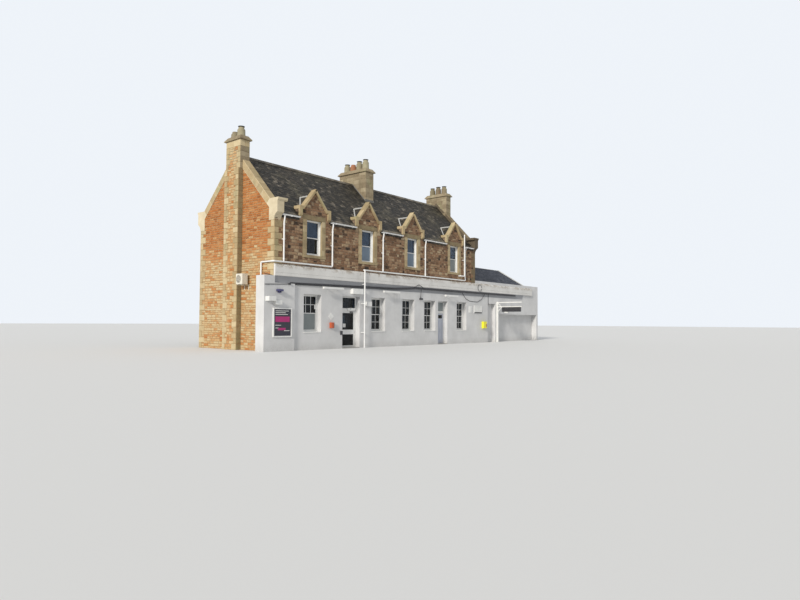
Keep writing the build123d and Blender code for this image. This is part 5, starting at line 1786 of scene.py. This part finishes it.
# %% Cables and conduits
cables = Heap()
on_fascia, on_wall, under_cornice = fascia_front - 0.025, front - 0.02, front - 0.10
bundle = [(-8.44, front - 0.03, 3.54), (0.1, front - 0.06, 3.66), (2.15, under_cornice, 3.79),
          (6.82, under_cornice, 3.78), (10.2, under_cornice, 3.79), (15.6, under_cornice, 3.80)]
tube(cables, bundle, 0.034)
tube(cables, [(x, y - 0.01, z - 0.075) for x, y, z in bundle], 0.022)
spare_loop = [(9.97 + 0.28 * math.cos(t / 2), on_fascia, 4.16 + 0.26 * math.sin(t / 2)) for t in range(13)]
for route in (
        [(house_left - 0.02, -2.56, 4.03), (house_left - 0.02, front + 0.05, 3.875)],
        [(pier_left + 0.02, pier_front - 0.02, 3.39), (pier_left + 1.60, pier_front - 0.02, 3.475)],
        [(11.39, under_cornice, 3.80), (11.39, on_wall, 3.55), (11.39, on_wall, 2.90)],
        [(2.74, under_cornice, 3.72), (2.74, on_wall, 3.10)],
        [(1.8, under_cornice, 3.74), (2.1, on_fascia, 3.88), (2.39, on_fascia, 4.0), (2.75, on_fascia, 3.88),
         (3.1, under_cornice, 3.74)],
        [(7.6, front - 0.08, 3.72), (8.2, front - 0.03, 3.28), (8.7, on_wall, 3.12), (9.8, on_wall, 3.08),
         (10.4, front - 0.03, 3.30), (10.8, front - 0.08, 3.72)],
        spare_loop):
    tube(cables, rounded(route, 0.08), 0.016)
cables.piece("cables", dark_metal, "dark_metal")

# %% [markdown]
# ## The wing's gutter, and lines on the cornice
# A half-round gutter is a bent strip, so its section is an arc out and a smaller arc back, drawn
# along the eaves. The cornice is plastered in lengths and bands; a thin dirty line marks a joint on
# the fascia, and a thin dark line at the fascia's foot is a painted shadow.

# %% Gutter and pipe of the wing's rear
gutter = Heap()
outer_radius, inner_radius = 0.062, 0.057
eave_point = Vector((0, wing_y1 + outer_radius, wing_wall_head - 0.02))
turns = [math.pi * (1 + i / 10) for i in range(11)]
section = [(outer_radius * math.cos(t), outer_radius * math.sin(t)) for t in turns]
section += [(inner_radius * math.cos(t), inner_radius * math.sin(t)) for t in reversed(turns)]
gutter_ends = house_right + 0.05, wing_right
join_rings(gutter, [[eave_point + Vector((x, y, z)) for y, z in section] for x in gutter_ends])
x, wall_pipe_y = wing_right - 0.9, wing_back + 0.09
pipe([(x, eave_point.y, eave_point.z - 0.055), (x, eave_point.y, eave_point.z - 0.2),
      (x, wall_pipe_y, eave_point.z - 0.36), (x, wall_pipe_y, 0.0)], gutter, 0.06)
for z in (3.0, 1.1):
    clip(x, wall_pipe_y, z, wing_back, gutter)
gutter.piece("wing_gutter", white_plastic, "white_pipe")

# %% Joint line and painted shadow line of the cornice
lines = Heap()
line_left, line_right = house_left + 0.01, wing_right - 1.26
line_front, line_back = fascia_front - 0.0015, fascia_front + 0.002
# The upper line is a dirty joint; the lower one, at the fascia's foot, is a painted shadow.
for foot, top in ((4.032, 4.039), (3.862, 3.872)):
    block(lines, line_left, line_right, line_front, line_back, foot, top, 0.001)
lines.piece("cornice_joint_and_shadow_lines", grime_and_shade, "painted_wall")

# %% [markdown]
# ## The floor
# The building stands on a pale floor that isn't part of it. It could end near the walls, but then
# its edge would show, so it reaches far past what the camera sees.

# %% Pale floor
reach = 300.0
floor_mesh = bpy.data.meshes.new("floor")
floor_corners = [(-reach, -reach, 0), (reach, -reach, 0), (reach, reach, 0), (-reach, reach, 0)]
floor_mesh.from_pydata(floor_corners, [], [(0, 1, 2, 3)])
floor_material, tree, shader = new_material("pale_floor", 0.9)
shader.inputs["Base Color"].default_value = (0.72, 0.72, 0.71, 1)
floor_mesh.materials.append(floor_material)
floor = bpy.data.objects.new("floor", floor_mesh)
bpy.context.scene.collection.objects.link(floor)
print("floor", 2 * reach, "m wide")
